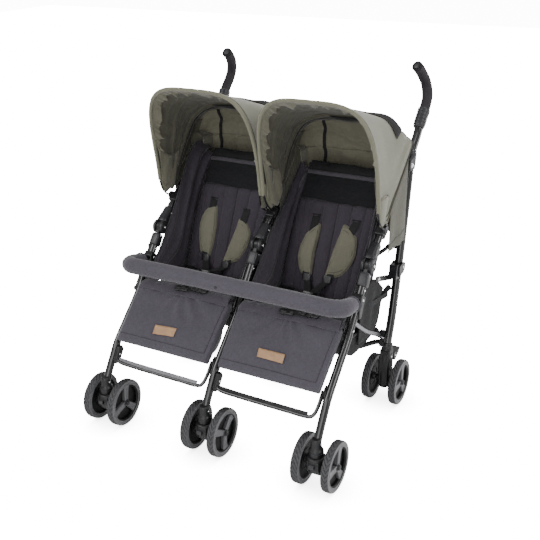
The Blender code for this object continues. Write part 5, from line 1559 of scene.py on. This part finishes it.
        # jaw round the rail (fixed on the rail)
        X = 0.0 if tag == "inner" else sx * FRAME_X
        ry = rail_at((CANOPY[0] - KNEE[0]) / DR.x)
        if tag == "outer" or s == "right":
            block("rail_clip_%s_%s" % (tag, s), ry, (DR.x, DR.y), 0.0150, 0.0140, X - 0.0135, X + 0.0135, PLASTIC, "rails", bevel=0.0035)


# ================================================================= seats, gussets
SEAT_FRONT, SEAT_BACK = (0.173, 0.384), (0.350, 0.334)
LEAN = math.radians(65.5)
UP = Vector((math.cos(LEAN), math.sin(LEAN)))
NB = Vector((math.sin(LEAN), -math.cos(LEAN)))


def back_at(c, u, v, d):
    """A point of the backrest: u across, v up from the crease, d in front of the board's face."""
    q = Vector(CREASE) + UP * v - NB * d
    return Vector((c + u, q.x, q.y))


def back_half(v):
    pts = [(0.0, 0.1375), (0.06, 0.140), (0.22, 0.138), (0.34, 0.126), (0.425, 0.116)]
    for (a, ha), (b, hb) in zip(pts[:-1], pts[1:]):
        if v <= b:
            return ha + (hb - ha) * max(0.0, (v - a)) / (b - a)
    return pts[-1][1]


def blend_seat(ob):
    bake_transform(ob)
    return ob


OUT_LINE = [(0.178, 0.392), (0.215, 0.421), (0.256, 0.458), (0.297, 0.503), (0.340, 0.557), (0.380, 0.615), (0.420, 0.676), (0.458, 0.722), (0.500, 0.736), (0.537, 0.724)]
def blend_wing(ob):
    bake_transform(ob)
    return ob


IN_LINE = [(0.178, 0.392), (0.215, 0.421), (0.256, 0.458), (0.297, 0.503), (0.345, 0.545), (0.400, 0.588), (0.455, 0.632), (0.505, 0.674), (0.538, 0.706)]
for sx, s in BAYS:
    c = sx * BAY_X
    seed = 2.2 if sx > 0 else 6.1
    # -------- seat pad: a stuffed board with lengthwise channels
    rows = []
    n = 80
    fy, fz = SEAT_FRONT
    by, bz = SEAT_BACK
    dy, dz = by - fy, bz - fz
    ln = math.hypot(dy, dz)
    dy, dz = dy / ln, dz / ln
    for i in range(41):
        t = i / 40.0
        half_w = 0.1440
        y, z = fy + dy * ln * t, fz + dz * ln * t
        end = min(1.0, min(t, 1 - t) / 0.08)
        pinch = 0.5 + 0.5 * math.sqrt(max(0.0, 1 - (1 - end) ** 2))
        row = []
        for k in range(n + 1):
            u = -1 + 2 * k / n
            e = (1 - abs(u) ** 8) ** 0.5
            ch = abs(math.sin(math.pi * (u * 3.0 + 0.5)))
            h = (0.0075 * e * pinch + 0.0022 * ch ** 0.5 * e) + 0.0006 * wob((u * 4, t * 4, 0), 1.0, seed) - 0.0060
            row.append(Vector((c + u * half_w, y, z + h)))
        for k in range(9):
            u = 1 - 2 * k / 8
            row.append(Vector((c + u * half_w * 0.97, y, z - 0.0165 * pinch)))
        rows.append(row)
    ob = surface("seat_pad_" + s, rows, CHARCOAL, None, wrap=True, caps=True, angle=50)
    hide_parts("seat_" + s)
    blend_seat(ob)
    # -------- side wings and gussets up to the canopy
    for tag, sgn in (("inner", -sx), ("outer", sx)):
        outer = resample([(c + sgn * 0.1490, p.y, p.z) for p in spline([(0, y, z) for y, z in (OUT_LINE if tag == "outer" else IN_LINE)], 8)], 60)
        inn = [(c + sgn * 0.1445, 0.1765, 0.386), (c + sgn * 0.1445, 0.230, 0.3690), (c + sgn * 0.1440, 0.290, 0.3535), (c + sgn * 0.1430, 0.345, 0.3400)]
        for v in (0.04, 0.10, 0.16, 0.22, 0.28, 0.34, 0.385):
            p = back_at(c, sgn * (back_half(v) + 0.002), v, 0.002)
            inn.append(tuple(p))
        inner = resample(spline(inn, 8), 60)
        rws = []
        for j in range(49):
            w = j / 48.0
            row = []
            for i in range(61):
                t = i / 60.0
                a, b = outer[i], inner[i]
                p = a.lerp(b, w)
                env = math.sin(math.pi * w) ** 0.8 * min(1.0, (b - a).length / 0.05)
                ph = w * 17.0 + t * 4.0 + 2.4 * wob((t * 3, w, 0), 1.0, seed)
                fold = (0.5 + 0.5 * math.sin(ph)) ** 1.8
                p.x -= sgn * env * (0.0010 + 0.0140 * fold * (0.5 + 0.5 * t) + 0.003 * (1 + wob((t * 6, w * 2.6, 0), 1.0, seed + 5)) + 0.0012 * wob((t * 22, w * 9, 0), 1.0, seed + 7))
                row.append(p)
            rws.append(row)
        ob = surface("side_gusset_%s_%s" % (tag, s), rws, CHARCOAL, None, thick=0.0018)
        declare_sheet(ob, rws)
        blend_wing(ob)
        pipe = tube("gusset_binding_%s_%s" % (tag, s), [p + Vector((0, 0, 0.0005)) for p in outer], 0.0028, CHARCOAL_DARK, None, sides=10)
        blend_wing(pipe)
        # black side cloth under the seat's edge, down to the basket
        a_line = [(0.300, 0.4200), (0.345, 0.4300), (0.390, 0.4340), (0.432, 0.4080), (0.474, 0.3710)]
        b_line = [(0.288, 0.2710), (0.340, 0.2640), (0.386, 0.2600), (0.425, 0.2830), (0.464, 0.3530)]
        a_l = resample(spline([(c + sgn * 0.1495, y, z) for y, z in a_line], 6), 30)
        b_l = resample(spline([(c + sgn * 0.1485, y, z) for y, z in b_line], 6), 30)
        rws = []
        for j in range(17):
            w = j / 16.0
            rws.append([a_l[i].lerp(b_l[i], w) + Vector((sgn * (0.0020 * math.sin(i * 0.55 + w * 3) * math.sin(math.pi * w) + 0.002 * wob((i / 8.0, w * 2, 0), 1.0, seed)), 0, 0))
                        for i in range(31)])
        ob = surface("seat_side_%s_%s" % (tag, s), rws, BLACK_CLOTH, None, thick=0.0014)
        declare_sheet(ob, rws)
        blend_seat(ob)

# ================================================================= backrests
TOP_SEAMS = [-0.113, -0.088, -0.046, 0.0, 0.045, 0.088, 0.113]
for sx, s in BAYS:
    c = sx * BAY_X
    b = "backrest_" + s
    seed = 3.1 if sx > 0 else 8.4

    def seam_u(i, v):
        return TOP_SEAMS[i] * (0.80 + 0.20 * min(1.0, v / 0.30))

    def quilt(u, v, hw):
        """Height of the quilted cover in front of the board."""
        edge = (1 - min(1.0, abs(u) / hw) ** 10) ** 0.5
        lines = [-hw] + [seam_u(i, v) for i in range(len(TOP_SEAMS))] + [hw]
        bulge = 0.0
        for a, q in zip(lines[:-1], lines[1:]):
            if a <= u <= q and q - a > 1e-6:
                f = (u - a) / (q - a)
                bulge = (max(0.0, math.sin(math.pi * f))) ** 0.44 * min(1.0, (q - a) / 0.040)
        low = min(1.0, max(0.0, v) / 0.02)
        high = min(1.0, max(0.0, 0.312 - v) / 0.008)
        swell = 0.0030 + 0.0080 * bulge * math.sqrt(low) * math.sqrt(high)
        return edge * swell + 0.0007 * wob((u * 30, v * 24, 0), 1.0, seed) + 0.0005 * math.sin(v * 160 + u * 40) * bulge * wob((u * 20, v * 6, 0), 1.0, seed + 2)

    rows = []
    n = 150
    vs = [0.004, 0.007, 0.012] + [0.018 + (0.300 - 0.018) * i / 46.0 for i in range(47)] + [0.3055, 0.3095, 0.3120]
    for v in vs:
        hw = back_half(v) - 0.001
        row = []
        for k in range(n + 1):
            u = -hw + 2 * hw * k / n
            d = quilt(u, v, hw)
            if v < 0.012:
                d *= v / 0.016
            if v > 0.303:
                d -= 0.004 * smoothstep((v - 0.303) / 0.009)
            row.append(back_at(c, u, v, d))
        for k in range(11):
            u = hw - 2 * hw * k / 10
            row.append(back_at(c, u * 0.985, v, -0.0195))
        rows.append(row)
    ob = surface("backrest_pad_" + s, rows, CHARCOAL, b, wrap=True, caps=True, angle=65)
    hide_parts("backrest_" + s)
    # stitched seams lie in the channels
    for i in range(len(TOP_SEAMS)):
        line = [back_at(c, seam_u(i, v), v, quilt(seam_u(i, v), v, back_half(v) - 0.001) + 0.0002) for v in [0.02 + 0.28 * k / 60 for k in range(61)]]
        tube("backrest_seam_%d_%s" % (i, s), line, 0.0010, SEAM, b, sides=6)
    # -------- head part: black mesh with soft creases, grey band, dark top
    rows = []
    for i in range(37):
        v = 0.3075 + (0.3865 - 0.3075) * i / 36.0
        hw = back_half(v) - 0.0005
        row = []
        for k in range(91):
            u = -hw + 2 * hw * k / 90
            e = (1 - min(1.0, abs(u) / hw) ** 8) ** 0.5
            crease = 0.0016 * math.sin(i * 0.42 + 2.4 * wob((u * 9, 0, 0), 1.0, seed)) * (0.5 + 0.5 * wob((u * 14, v * 20, 0), 1.0, seed))
            d = e * (0.0040 + 0.0040 * math.sin(math.pi * (i / 36.0)) ** 0.8) + crease * e
            row.append(back_at(c, u, v, d))
        for k in range(9):
            row.append(back_at(c, (hw - 2 * hw * k / 8) * 0.985, v, -0.0195))
        rows.append(row)
    ob = surface("head_mesh_" + s, rows, MESH, b, wrap=True, caps=True, angle=60)
    rows = []
    for i, (v, d0) in enumerate(((0.3835, 0.0030), (0.3845, 0.0078), (0.3880, 0.0098), (0.3920, 0.0098), (0.3950, 0.0080), (0.3965, 0.0030))):
        hw = back_half(v)
        row = [back_at(c, -hw + 2 * hw * k / 60, v + 0.0015 * wob((k / 20.0, 0, 0), 1.0, seed), d0 * (1 - abs(-1 + 2 * k / 60) ** 10) ** 0.5 + 0.0004 * wob((k / 6.0, i, 0), 1.0, seed)) for k in range(61)]
        row += [back_at(c, (hw - 2 * hw * k / 6) * 0.99, v, -0.0200) for k in range(7)]
        rows.append(row)
    ob = surface("head_band_" + s, rows, GREY_BIND, b, wrap=True, caps=True, angle=60)
    rows = []
    for i in range(12):
        v = 0.3955 + (0.425 - 0.3955) * i / 11.0
        hw = back_half(v) * (1.0 - 0.04 * (i / 11.0) ** 3)
        d0 = 0.0065 * math.cos(math.pi / 2 * (i / 11.0) ** 2)
        row = []
        for k in range(61):
            uu = -1 + 2 * k / 60
            vv = v - 0.006 * (i / 11.0) * (0.5 + 0.5 * math.cos(uu * 7.0 + seed)) * (1 if i > 5 else 0.4)
            row.append(back_at(c, hw * uu, vv, d0 * (1 - abs(uu) ** 8) ** 0.5 + 0.0010 * wob((uu * 4, i / 5.0, 0), 1.0, seed)))
        row += [back_at(c, (hw - 2 * hw * k / 6) * 0.98, v - 0.002, -0.0195 + 0.006 * (i / 11.0) ** 2) for k in range(7)]
        rows.append(row)
    ob = surface("head_top_" + s, rows, BLACK_CLOTH, b, wrap=True, caps=True, angle=60)
    # mesh pocket's lower hem and its side loops
    line = [back_at(c, -0.118 + 0.236 * k / 60, 0.3075 + 0.003 * math.sin(k * 0.09 + 1), 0.0072) for k in range(61)]
    tube("head_hem_" + s, line, 0.0018, CHARCOAL_DARK, b, sides=8)
    for sgn, tag in ((-1, "a"), (1, "b")):
        line = [back_at(c, sgn * u, v, d) for u, v, d in ((0.121, 0.384, 0.008), (0.126, 0.362, 0.014), (0.131, 0.340, 0.016), (0.133, 0.322, 0.012), (0.128, 0.306, 0.006))]
        strap("head_side_tape_%s_%s" % (tag, s), spline(line, 6), 0.0065, 0.0016, GREY_BIND, b, across=(0, 0.4, 1))
    # side piping of the board
    for sgn, tag in ((-1, "a"), (1, "b")):
        line = [back_at(c, sgn * (back_half(v) + 0.0004), v, 0.0006) for v in [0.012 + 0.405 * k / 50 for k in range(51)]]
        tube("backrest_piping_%s_%s" % (tag, s), line, 0.0022, CHARCOAL_DARK, b, sides=8)

    # -------- harness: webbing out of the slots, through the shoulder pads, down to the buckle
    if sx > 0:
        pads = {"a": [(-.0453, .243), (-.0616, .2306), (-.0828, .2063), (-.0948, .1682), (-.0968, .1378), (-.0864, .1034), (-.0748, .0874), (-.0432, .0833),
                      (-.0448, .1168), (-.0468, .1583), (-.0425, .2008), (-.0421, .2336)],
                "b": [(.0292, .2515), (.0509, .2423), (.0747, .2168), (.0773, .2085), (.0807, .1682), (.0763, .147), (.0634, .1183), (.0481, .1009), (.0277, .0924),
                      (-.0001, .0876), (.0037, .1165), (.0117, .1711), (.0214, .217)]}
    else:
        pads = {"a": [(-.0596, .2446), (-.0800, .2400), (-.0963, .2265), (-.1060, .2060), (-.1093, .183), (-.1075, .158), (-.1023, .1329), (-.0970, .1120), (-.09, .0934),
                      (-.0539, .0805), (-.0489, .1257), (-.05, .1826)],
                "b": [(.0259, .2163), (.0440, .2120), (.0572, .2024), (.0680, .1880), (.0743, .1709), (.0710, .1430), (.0647, .1165), (.0550, .0980), (.043, .0847),
                      (.0069, .0689), (-.0048, .0732), (.0064, .1223), (.0197, .1778)]}
    slots = {"a": (-0.0612, 0.2600), "b": (0.0656, 0.2600)}
    if sx < 0:
        slots = {"a": (-0.0740, 0.2600), "b": (0.0460, 0.2400)}
    buckle = (-0.022 if sx > 0 else -0.030, 0.030)
    for tag in ("a", "b"):
        ob, sm = pad_from_outline("shoulder_pad_%s_%s" % (tag, s), pads[tag], lambda u, v, d, c=c: back_at(c, u, v, d), 0.0125, KHAKI_3D, b, edge=0.34, rings=12,
                                  base=0.0075, seam=0.80, piping=KHAKI_EDGE, seed=seed + (1 if tag == "b" else 0))
        cu = sum(q.x for q in sm) / len(sm)
        cv = sum(q.y for q in sm) / len(sm)
        ring = [back_at(c, cu + (q.x - cu) * 0.80, cv + (q.y - cv) * 0.80, 0.0075 + 0.0125 * (0.34 + 0.66 * (1 - 0.80 ** 2.6) ** 0.6) - 0.0012) for q in sm]
        ring_tube("pad_seam_%s_%s" % (tag, s), ring, 0.0009, OLIVE_BAND, b, sides=6)
        su, sv = slots[tag]
        # slot in the cover, and the strap from it to under the pad
        plate = [back_at(c, su + du, sv + dv, 0.0098) for du, dv in ((-0.0130, 0.006), (0.0130, 0.006))]
        tube("strap_slot_%s_%s" % (tag, s), [plate[0], plate[1]], 0.0022, BLACK_CLOTH, b, sides=10)
        line = [back_at(c, su, sv + 0.006, 0.0080), back_at(c, su, sv - 0.004, 0.0118), back_at(c, su + (cu - su) * 0.25, sv - 0.022, 0.0125), back_at(c, su + (cu - su) * 0.6, sv - 0.050, 0.0118)]
        strap("shoulder_strap_%s_%s" % (tag, s), spline(line, 6), 0.0235, 0.0018, WEB, b, across=(1, 0, 0))
        bu, bv = min(sm, key=lambda q: q.y).x, min(sm, key=lambda q: q.y).y
        low = {"a": (-0.060, 0.092), "b": (0.018, 0.096)}[tag] if sx > 0 else {"a": (-0.071, 0.090), "b": (0.016, 0.080)}[tag]
        line = [back_at(c, low[0], low[1] + 0.022, 0.0125), back_at(c, low[0], low[1], 0.0150), back_at(c, low[0] + (buckle[0] - low[0]) * 0.35, low[1] - 0.028, 0.022),
                back_at(c, buckle[0] + (0.010 if tag == "b" else -0.010), buckle[1] + 0.010, 0.045), back_at(c, buckle[0] + (0.008 if tag == "b" else -0.008), buckle[1] - 0.002, 0.056)]
        strap("lower_strap_%s_%s" % (tag, s), spline(line, 8), 0.0200, 0.0018, WEB, b, across=(1, 0, 0))
        # adjuster on the strap
        q = back_at(c, low[0] + (buckle[0] - low[0]) * 0.16, low[1] - 0.012, 0.0185)
        d1 = Vector((0, UP.x, UP.y))
        nn = Vector((0, -NB.x, -NB.y))
        rws = []
        for j, (h, k) in enumerate(((-0.0100, 0.85), (-0.0085, 1.0), (0.0085, 1.0), (0.0100, 0.85))):
            rws.append([q + d1 * h + Vector((1, 0, 0)) * (0.0132 * k * math.cos(a)) + nn * (0.0022 * math.sin(a)) for a in [2 * math.pi * m / 20 for m in range(20)]])
        surface("adjuster_%s_%s" % (tag, s), rws, SATIN, b, wrap=True, caps=True)
    # waist straps and buckle
    for sgn, tag in ((-1, "a"), (1, "b")):
        line = [back_at(c, sgn * 0.137, 0.030, 0.0085), back_at(c, sgn * 0.105, 0.030, 0.020), back_at(c, sgn * 0.070, 0.026, 0.038), back_at(c, buckle[0] + sgn * 0.022, 0.020, 0.056)]
        strap("waist_strap_%s_%s" % (tag, s), spline(line, 8), 0.0220, 0.0018, WEB, b, across=(0, 0.35, 1))
        strap("waist_loop_%s_%s" % (tag, s), [lerp(tuple(line[1]), tuple(line[2]), 0.15), lerp(tuple(line[1]), tuple(line[2]), 0.75)], 0.0270, 0.0060, SATIN, b, across=(0, 0.35, 1))
    q = back_at(c, buckle[0], buckle[1] - 0.006, 0.058)
    rws = []
    d1 = Vector((0, 0.25, 1)).normalized()
    nn = Vector((0, -1, 0.25)).normalized()
    for h, w, t in ((-0.024, 0.80, 0.7), (-0.022, 0.95, 0.9), (-0.010, 1.05, 1.05), (0.006, 1.0, 1.0), (0.016, 0.92, 0.9), (0.018, 0.80, 0.7)):
        rws.append([q + d1 * h + Vector((1, 0, 0)) * (0.0200 * w * math.copysign(abs(math.cos(a)) ** 0.6, math.cos(a))) + nn * (0.0075 * t * math.copysign(abs(math.sin(a)) ** 0.8, math.sin(a)))
                    for a in [2 * math.pi * m / 32 for m in range(32)]])
    surface("buckle_" + s, rws, SATIN, b, wrap=True, caps=True)
    lathe("buckle_button_" + s, [(0.0095, 0), (0.0095, 0.0012), (0.0085, 0.0018), (0.003, 0.0020)], tuple(q + nn * 0.0072), tuple(nn), DARK_GREY, b, segs=28)

# crotch straps from the seat to the buckle
for sx, s in BAYS:
    c = sx * BAY_X
    b0 = -0.022 if sx > 0 else -0.030
    q = back_at(c, b0, 0.002, 0.058)
    line = [(c + b0, 0.232, 0.3740), (c + b0, 0.250, 0.3690), (c + b0, 0.268, 0.3700), (c + b0, 0.285, 0.3760), tuple(q + Vector((0, -0.002, -0.008)))]
    ob = strap("crotch_strap_" + s, spline(line, 8), 0.0260, 0.0022, WEB, "rails", across=(1, 0, 0))

# buckles and webbing that hang over the seats' front edge
for sx, s in BAYS:
    c = sx * BAY_X
    k = 1.0 if sx > 0 else 0.85
    for nm, u, y, z, half_u, turn in (("a", -0.004, 0.1530, 0.4010, 0.020, 0.18), ("b", 0.036 * k, 0.1660, 0.4030, 0.013, -0.10), ("c", 0.070 * k, 0.1640, 0.4030, 0.016, 0.12)):
        rws = []
        ax = Vector((math.cos(turn), math.sin(turn), 0))
        ay = Vector((-math.sin(turn), math.cos(turn), 0.35)).normalized()
        up = ax.cross(ay)
        o = Vector((c + u, y, z))
        for h, q in ((-1.0, 0.80), (-0.86, 0.98), (-0.30, 1.0), (-0.24, 0.86), (0.24, 0.86), (0.30, 1.0), (0.86, 0.96), (1.0, 0.76)):
            rws.append([o + ax * (half_u * h) + ay * (0.0100 * q * math.copysign(abs(math.cos(a)) ** 0.6, math.cos(a))) + up * (0.0052 * q * math.copysign(abs(math.sin(a)) ** 0.7, math.sin(a)))
                        for a in [2 * math.pi * m_ / 28 for m_ in range(28)]])
        surface("front_buckle_%s_%s" % (nm, s), rws, SATIN, "rails", wrap=True, caps=True)
    line = [(c - 0.004, 0.1550, 0.3970), (c - 0.004, 0.1556, 0.4005), (c + 0.020, 0.1600, 0.4035), (c + 0.060 * k, 0.1655, 0.4015), (c + 0.085 * k, 0.1760, 0.3950)]
    strap("front_webbing_" + s, spline(line, 8), 0.0200, 0.0020, WEB, "rails", across=(0, 0.8, 0.6))

# ================================================================= legrests
LD = (Vector((0.020, 0.265)) - Vector((0.155, 0.388))).normalized()
LN = Vector((-LD.y, LD.x))
if LN.y < 0:
    LN = -LN
LLEN = (Vector((0.020, 0.265)) - Vector((0.155, 0.388))).length


def leg_pt(c, u, t, h):
    """A point of a legrest: u across in metres, t down its length (0 to 1), h above its face."""
    q = Vector((0.155, 0.388)) + LD * (LLEN * t) + LN * h
    return Vector((c + u, q.x, q.y))


def leg_half(t):
    return 0.1555 + (0.1495 - 0.1555) * t


PATCH = {"right": [(259.4, 348.3), (285.4, 354.8), (282.7, 364.0), (257.2, 357.0)], "left": [(155.9, 324.9), (177.2, 328.9), (173.8, 337.4), (152.8, 333.9)]}
for sx, s in BAYS:
    c = sx * BAY_X
    b = "legrest_" + s
    seed = 5.5 if sx > 0 else 9.2
    rows = []
    n, mm = 110, 80

    def face_h(u, t, hw):
        eu = (1 - min(1.0, abs(u) / hw) ** 14) ** 0.5
        top = 0.0030 * math.sin(math.pi * min(1, t * 1.0)) * (1 - (u / hw) ** 2)
        # soft creases fanning out from the middle of the top edge
        ang = math.atan2(u, max(t * LLEN, 1e-4) + 0.012)
        r = math.hypot(u, t * LLEN)
        fan = 0.0026 * math.cos(ang * 11.0 + 0.7 * sx + 1.5 * wob((r * 20, ang, 0), 1.0, seed)) * math.exp(-((r - 0.060) / 0.060) ** 2)
        low = -0.0012 * math.exp(-((t - 0.30) / 0.10) ** 2) * (1 - (u / hw) ** 2)
        return top + fan + low + 0.0022 * wob((u * 16, t * 2.6, 0), 1.0, seed) + 0.0008 * math.sin(u * 90 + 6 * t + seed) * wob((u * 12, t * 5, 2), 1.0, seed) + 0.0004 * wob((u * 70, t * 9, 0), 1.0, seed + 1) - 0.0035 * (1 - eu)

    for i in range(mm + 1):
        t = i / mm
        hw = leg_half(t)
        e = min(1.0, min(t / 0.05, (1 - t) / 0.05))
        roll = math.sqrt(max(0.0, 1 - (1 - e) ** 2))
        row = []
        for k in range(n + 1):
            u = -hw + 2 * hw * k / n
            scallop = 0.0016 * math.sin(u * 210 + seed) * (1 if t > 0.97 else 0) * 0.5
            row.append(leg_pt(c, u, t, (face_h(u, t, hw) - 0.010 * (1 - roll)) + scallop))
        for k in range(1, 5):
            row.append(leg_pt(c, hw * (1.0 + 0.003 * math.sin(math.pi * k / 5)), t, -0.0045 - (0.0265 * k / 5.0) * (0.45 + 0.55 * roll)))
        for k in range(13):
            u = hw - 2 * hw * k / 12
            row.append(leg_pt(c, u * 0.99, t, -0.0290 * (0.45 + 0.55 * roll) + 0.001 * wob((u * 12, t * 4, 1), 1.0, seed)))
        for k in range(1, 5):
            row.append(leg_pt(c, -hw * (1.0 + 0.003 * math.sin(math.pi * k / 5)), t, -0.0265 * (0.45 + 0.55 * roll) + (0.0220 * k / 5.0) * (0.45 + 0.55 * roll)))
        rows.append(row)
    ob = surface("legrest_pad_" + s, rows, HEATHER, b, wrap=True, caps=True, angle=70)
    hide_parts("legrest_" + s)
    # sewn seams: round the face near the edge, and the box edge
    t_low = 1 - 0.0235 / LLEN
    u_side = 0.0115
    hw = leg_half(t_low)
    line = [leg_pt(c, -hw + 0.0015, t_low, face_h(-hw + 0.0015, t_low, hw) + 0.0002)]
    line += [leg_pt(c, -hw + u_side + (2 * hw - 2 * u_side) * k / 60, t_low, face_h(-hw + u_side + (2 * hw - 2 * u_side) * k / 60, t_low, hw) + 0.0002) for k in range(1, 60)]
    line += [leg_pt(c, leg_half(t) - u_side, t, face_h(leg_half(t) - u_side, t, leg_half(t)) + 0.0002) for t in [t_low - (t_low - 0.02) * k / 30 for k in range(31)]]
    tube("legrest_seam_" + s, line, 0.0009, SEAM, b, sides=6)
    # -------- the cover's top, rolled back over the seat's front edge
    prof = spline([(0, 0.1440, 0.3810), (0, 0.1520, 0.3880), (0, 0.1610, 0.3935), (0, 0.1720, 0.3955), (0, 0.1830, 0.3940), (0, 0.1900, 0.3890)], 5)
    rws = []
    for i, q in enumerate(prof):
        g = i / (len(prof) - 1.0)
        hw2 = 0.1535 - 0.0080 * g
        row = []
        for k in range(81):
            uu = -1.0 + 2.0 * k / 80.0
            dip = 0.0020 * abs(uu) ** 10 + 0.0016 * math.sin(uu * 24.0 + 3.0 * wob((uu * 3, g, 0), 1.0, seed)) * (0.3 + 0.7 * g) + 0.0020 * wob((uu * 5, g * 2, 0), 1.0, seed)
            row.append(Vector((c + hw2 * uu, q.y, q.z + 0.0012 - dip)))
        rws.append(row)
    ob = surface("legrest_top_" + s, rws, HEATHER, None, thick=0.0016)
    declare_sheet(ob, rws)
    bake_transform(ob)
    # -------- bare tan patch near the lower edge, stitched along its ends
    px = PATCH[s]
    corners = []
    for x, y in px:
        d = (F * 832.383 + R * (x - 270) - U * (y - 270)).normalized()
        o = Vector((C.x, C.y + YM, C.z))
        nn = Vector((0, LN.x, LN.y))
        p0 = Vector((0, 0.155, 0.388)) + nn * 0.0022
        corners.append(o + d * ((p0 - o).dot(nn) / d.dot(nn)))
    rws = []
    for j in range(7):
        q = j / 6.0
        a, e = corners[0].lerp(corners[3], q), corners[1].lerp(corners[2], q)
        rws.append([a.lerp(e, k / 20.0) + Vector((0, LN.x, LN.y)) * (0.0012 + face_h(a.lerp(e, k / 20.0).x - c, 0.7, 0.152) * 0.6) for k in range(21)])
    surface("leather_patch_" + s, rws, TAN, b, thick=0.0016, side=1.0)
    for nm, q in (("a", 0.07), ("b", 0.93)):
        line = [rws[j][0].lerp(rws[j][20], q) for j in range(7)]
        stitches("patch_stitch_%s_%s" % (nm, s), line, (0, LN.x, LN.y), b, THREAD, length=0.0022, gap=0.0012, r=0.0003, lift=0.0012)

# ================================================================= basket
sec = [(0.2155, 0.318), (0.2225, 0.290), (0.2330, 0.268), (0.2500, 0.2555), (0.2690, 0.2480), (0.3100, 0.2440), (0.3500, 0.2425), (0.3900, 0.2440), (0.4310, 0.2480),
       (0.4520, 0.2600), (0.4660, 0.2770), (0.4790, 0.3080), (0.4910, 0.345)]
BX = 0.3125
sec_f = resample(spline([(0, y, z) for y, z in sec], 6), 64)
rows = []
for i in range(81):
    x = -BX + 2 * BX * i / 80
    e = 1.0 - 0.06 * max(0.0, (abs(x) / BX - 0.90) / 0.10) ** 2
    rows.append([Vector((x, p.y + 0.0016 * math.sin(i * 0.9 + k * 0.35) * math.sin(math.pi * k / 64) * 0.7,
                         p.z + 0.0030 * math.sin(math.pi * k / 64) * (-1 + abs(math.sin(math.pi * i / 20.0))) + 0.0012 * wob((i / 6.0, k / 9.0, 0), 1.0, 3)))
                 for k, p in enumerate(sec_f)])
ob = surface("basket_cloth", rows, BLACK_CLOTH, "rear_frame", thick=0.0016)
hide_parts("basket")
declare_sheet(ob, rows)
for sx, s in BAYS:
    # end wall with its dipping top edge
    lowr = [(sx * BX, p.y, p.z) for p in sec_f[4:61]]
    topr = resample([(sx * BX, y, z) for y, z in ((0.2190, 0.3050), (0.262, 0.306), (0.350, 0.296), (0.440, 0.302), (0.4840, 0.3300))], 56)
    rws = []
    for j in range(13):
        q = j / 12.0
        rws.append([Vector(lowr[k]).lerp(topr[k], q) + Vector((sx * 0.0016 * math.sin(k * 0.4 + q * 3) * math.sin(math.pi * q), 0, 0)) for k in range(57)])
    ob = surface("basket_end_" + s, rws, BLACK_CLOTH, "rear_frame", thick=0.0016)
    declare_sheet(ob, rws)
    tube("basket_end_hem_" + s, [Vector(p) for p in topr], 0.0026, CHARCOAL_DARK, "rear_frame", sides=10)
    # hanging straps
    for nm, pts in (("rear", [(sx * 0.3120, 0.4885, 0.340), (sx * 0.3180, 0.5050, 0.352), (sx * 0.3262, 0.5165, 0.362)]),
                    ("front", [(sx * 0.3100, 0.2200, 0.312), (sx * 0.3190, 0.1950, 0.335), (sx * 0.3270, 0.1750, 0.352)])):
        strap("basket_strap_%s_%s" % (nm, s), spline(pts, 5), 0.018, 0.0018, WEB, "rear_frame", across=(0, 0.7, -0.7) if nm == "front" else (0, 0.4, 1))
tube("basket_front_hem", [Vector((-BX + 2 * BX * i / 40, 0.2155, 0.3185)) for i in range(41)], 0.0028, CHARCOAL_DARK, "rear_frame", sides=10)
ob = tube("basket_rear_hem", [Vector((-BX + 2 * BX * i / 40, 0.4912, 0.3455)) for i in range(41)], 0.0028, CHARCOAL_DARK, "rear_frame", sides=10)

# each visible basket piece gets a mesh of its own
for ob in [o for o in bpy.data.objects if o.name.startswith("basket_") and not o.hide_render]:
    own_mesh(ob)

# black link, webbing strap and rivet between the seat's side and the rear tube
for sx, s in BAYS:
    body = "rear_frame"
    a, b = Vector((0.402, 0.4280)), Vector((0.5330, 0.3850))
    mid, d = (a + b) / 2, (b - a).normalized()
    block("side_link_bar_" + s, mid, (d.x, d.y), (b - a).length / 2, 0.0085, *sorted((sx * 0.3215, sx * 0.3245)), PLASTIC, body, bevel=0.0015)
    rivet("side_link_rivet_" + s, sx * 0.3245, 0.425, 0.4205, sx, body, r=0.0036, washer=True)
    line = [(sx * 0.3262, 0.4970, 0.3440), (sx * 0.3240, 0.4500, 0.3500), (sx * 0.3215, 0.4000, 0.3560), (sx * 0.3205, 0.3620, 0.3610)]
    strap("side_webbing_" + s, spline(line, 6), 0.0160, 0.0018, WEB, body, across=(0, 0.15, 1))


# ================================================================= floor
me = bpy.data.meshes.new("floor")
me.from_pydata([(-9, -9, 0), (9, -9, 0), (9, 9, 0), (-9, 9, 0)], [], [(0, 1, 2, 3)])
floor = bpy.data.objects.new("floor", me)
bpy.context.scene.collection.objects.link(floor)
fm, fnt, fb = new_mat("studio_floor")
fpath = fnt.nodes.new("ShaderNodeLightPath")
# painted contact shadow: the floor's camera-seen glow is dimmed by ambient occlusion near the pushchair
near = fnt.nodes.new("ShaderNodeAmbientOcclusion")
near.samples = 12
near.inputs["Distance"].default_value = 0.16
glow_with_painted_shadow = remap(fnt, math_node(fnt, 'POWER', near.outputs["AO"], 1.5), 0.0, 1.0, 2.6, 19.0)
fnt.links.new(math_node(fnt, 'MULTIPLY', fpath.outputs["Is Camera Ray"], glow_with_painted_shadow), fb.inputs["Emission Strength"])
fb.inputs["Emission Color"].default_value = (1.0, 1.0, 1.0, 1.0)
spot = noise_tex(fnt, coords(fnt, "Object"), 3.0, 3.0)
fnt.links.new(mix_colour(fnt, spot, (0.97, 0.97, 0.975), (1.0, 1.0, 1.0)), fb.inputs["Base Color"])
fnt.links.new(remap(fnt, spot, 0.3, 0.7, 0.75, 0.85), fb.inputs["Roughness"])
fb.inputs["Specular IOR Level"].default_value = 0.1
me.materials.append(fm)
floor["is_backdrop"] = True

lo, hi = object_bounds()
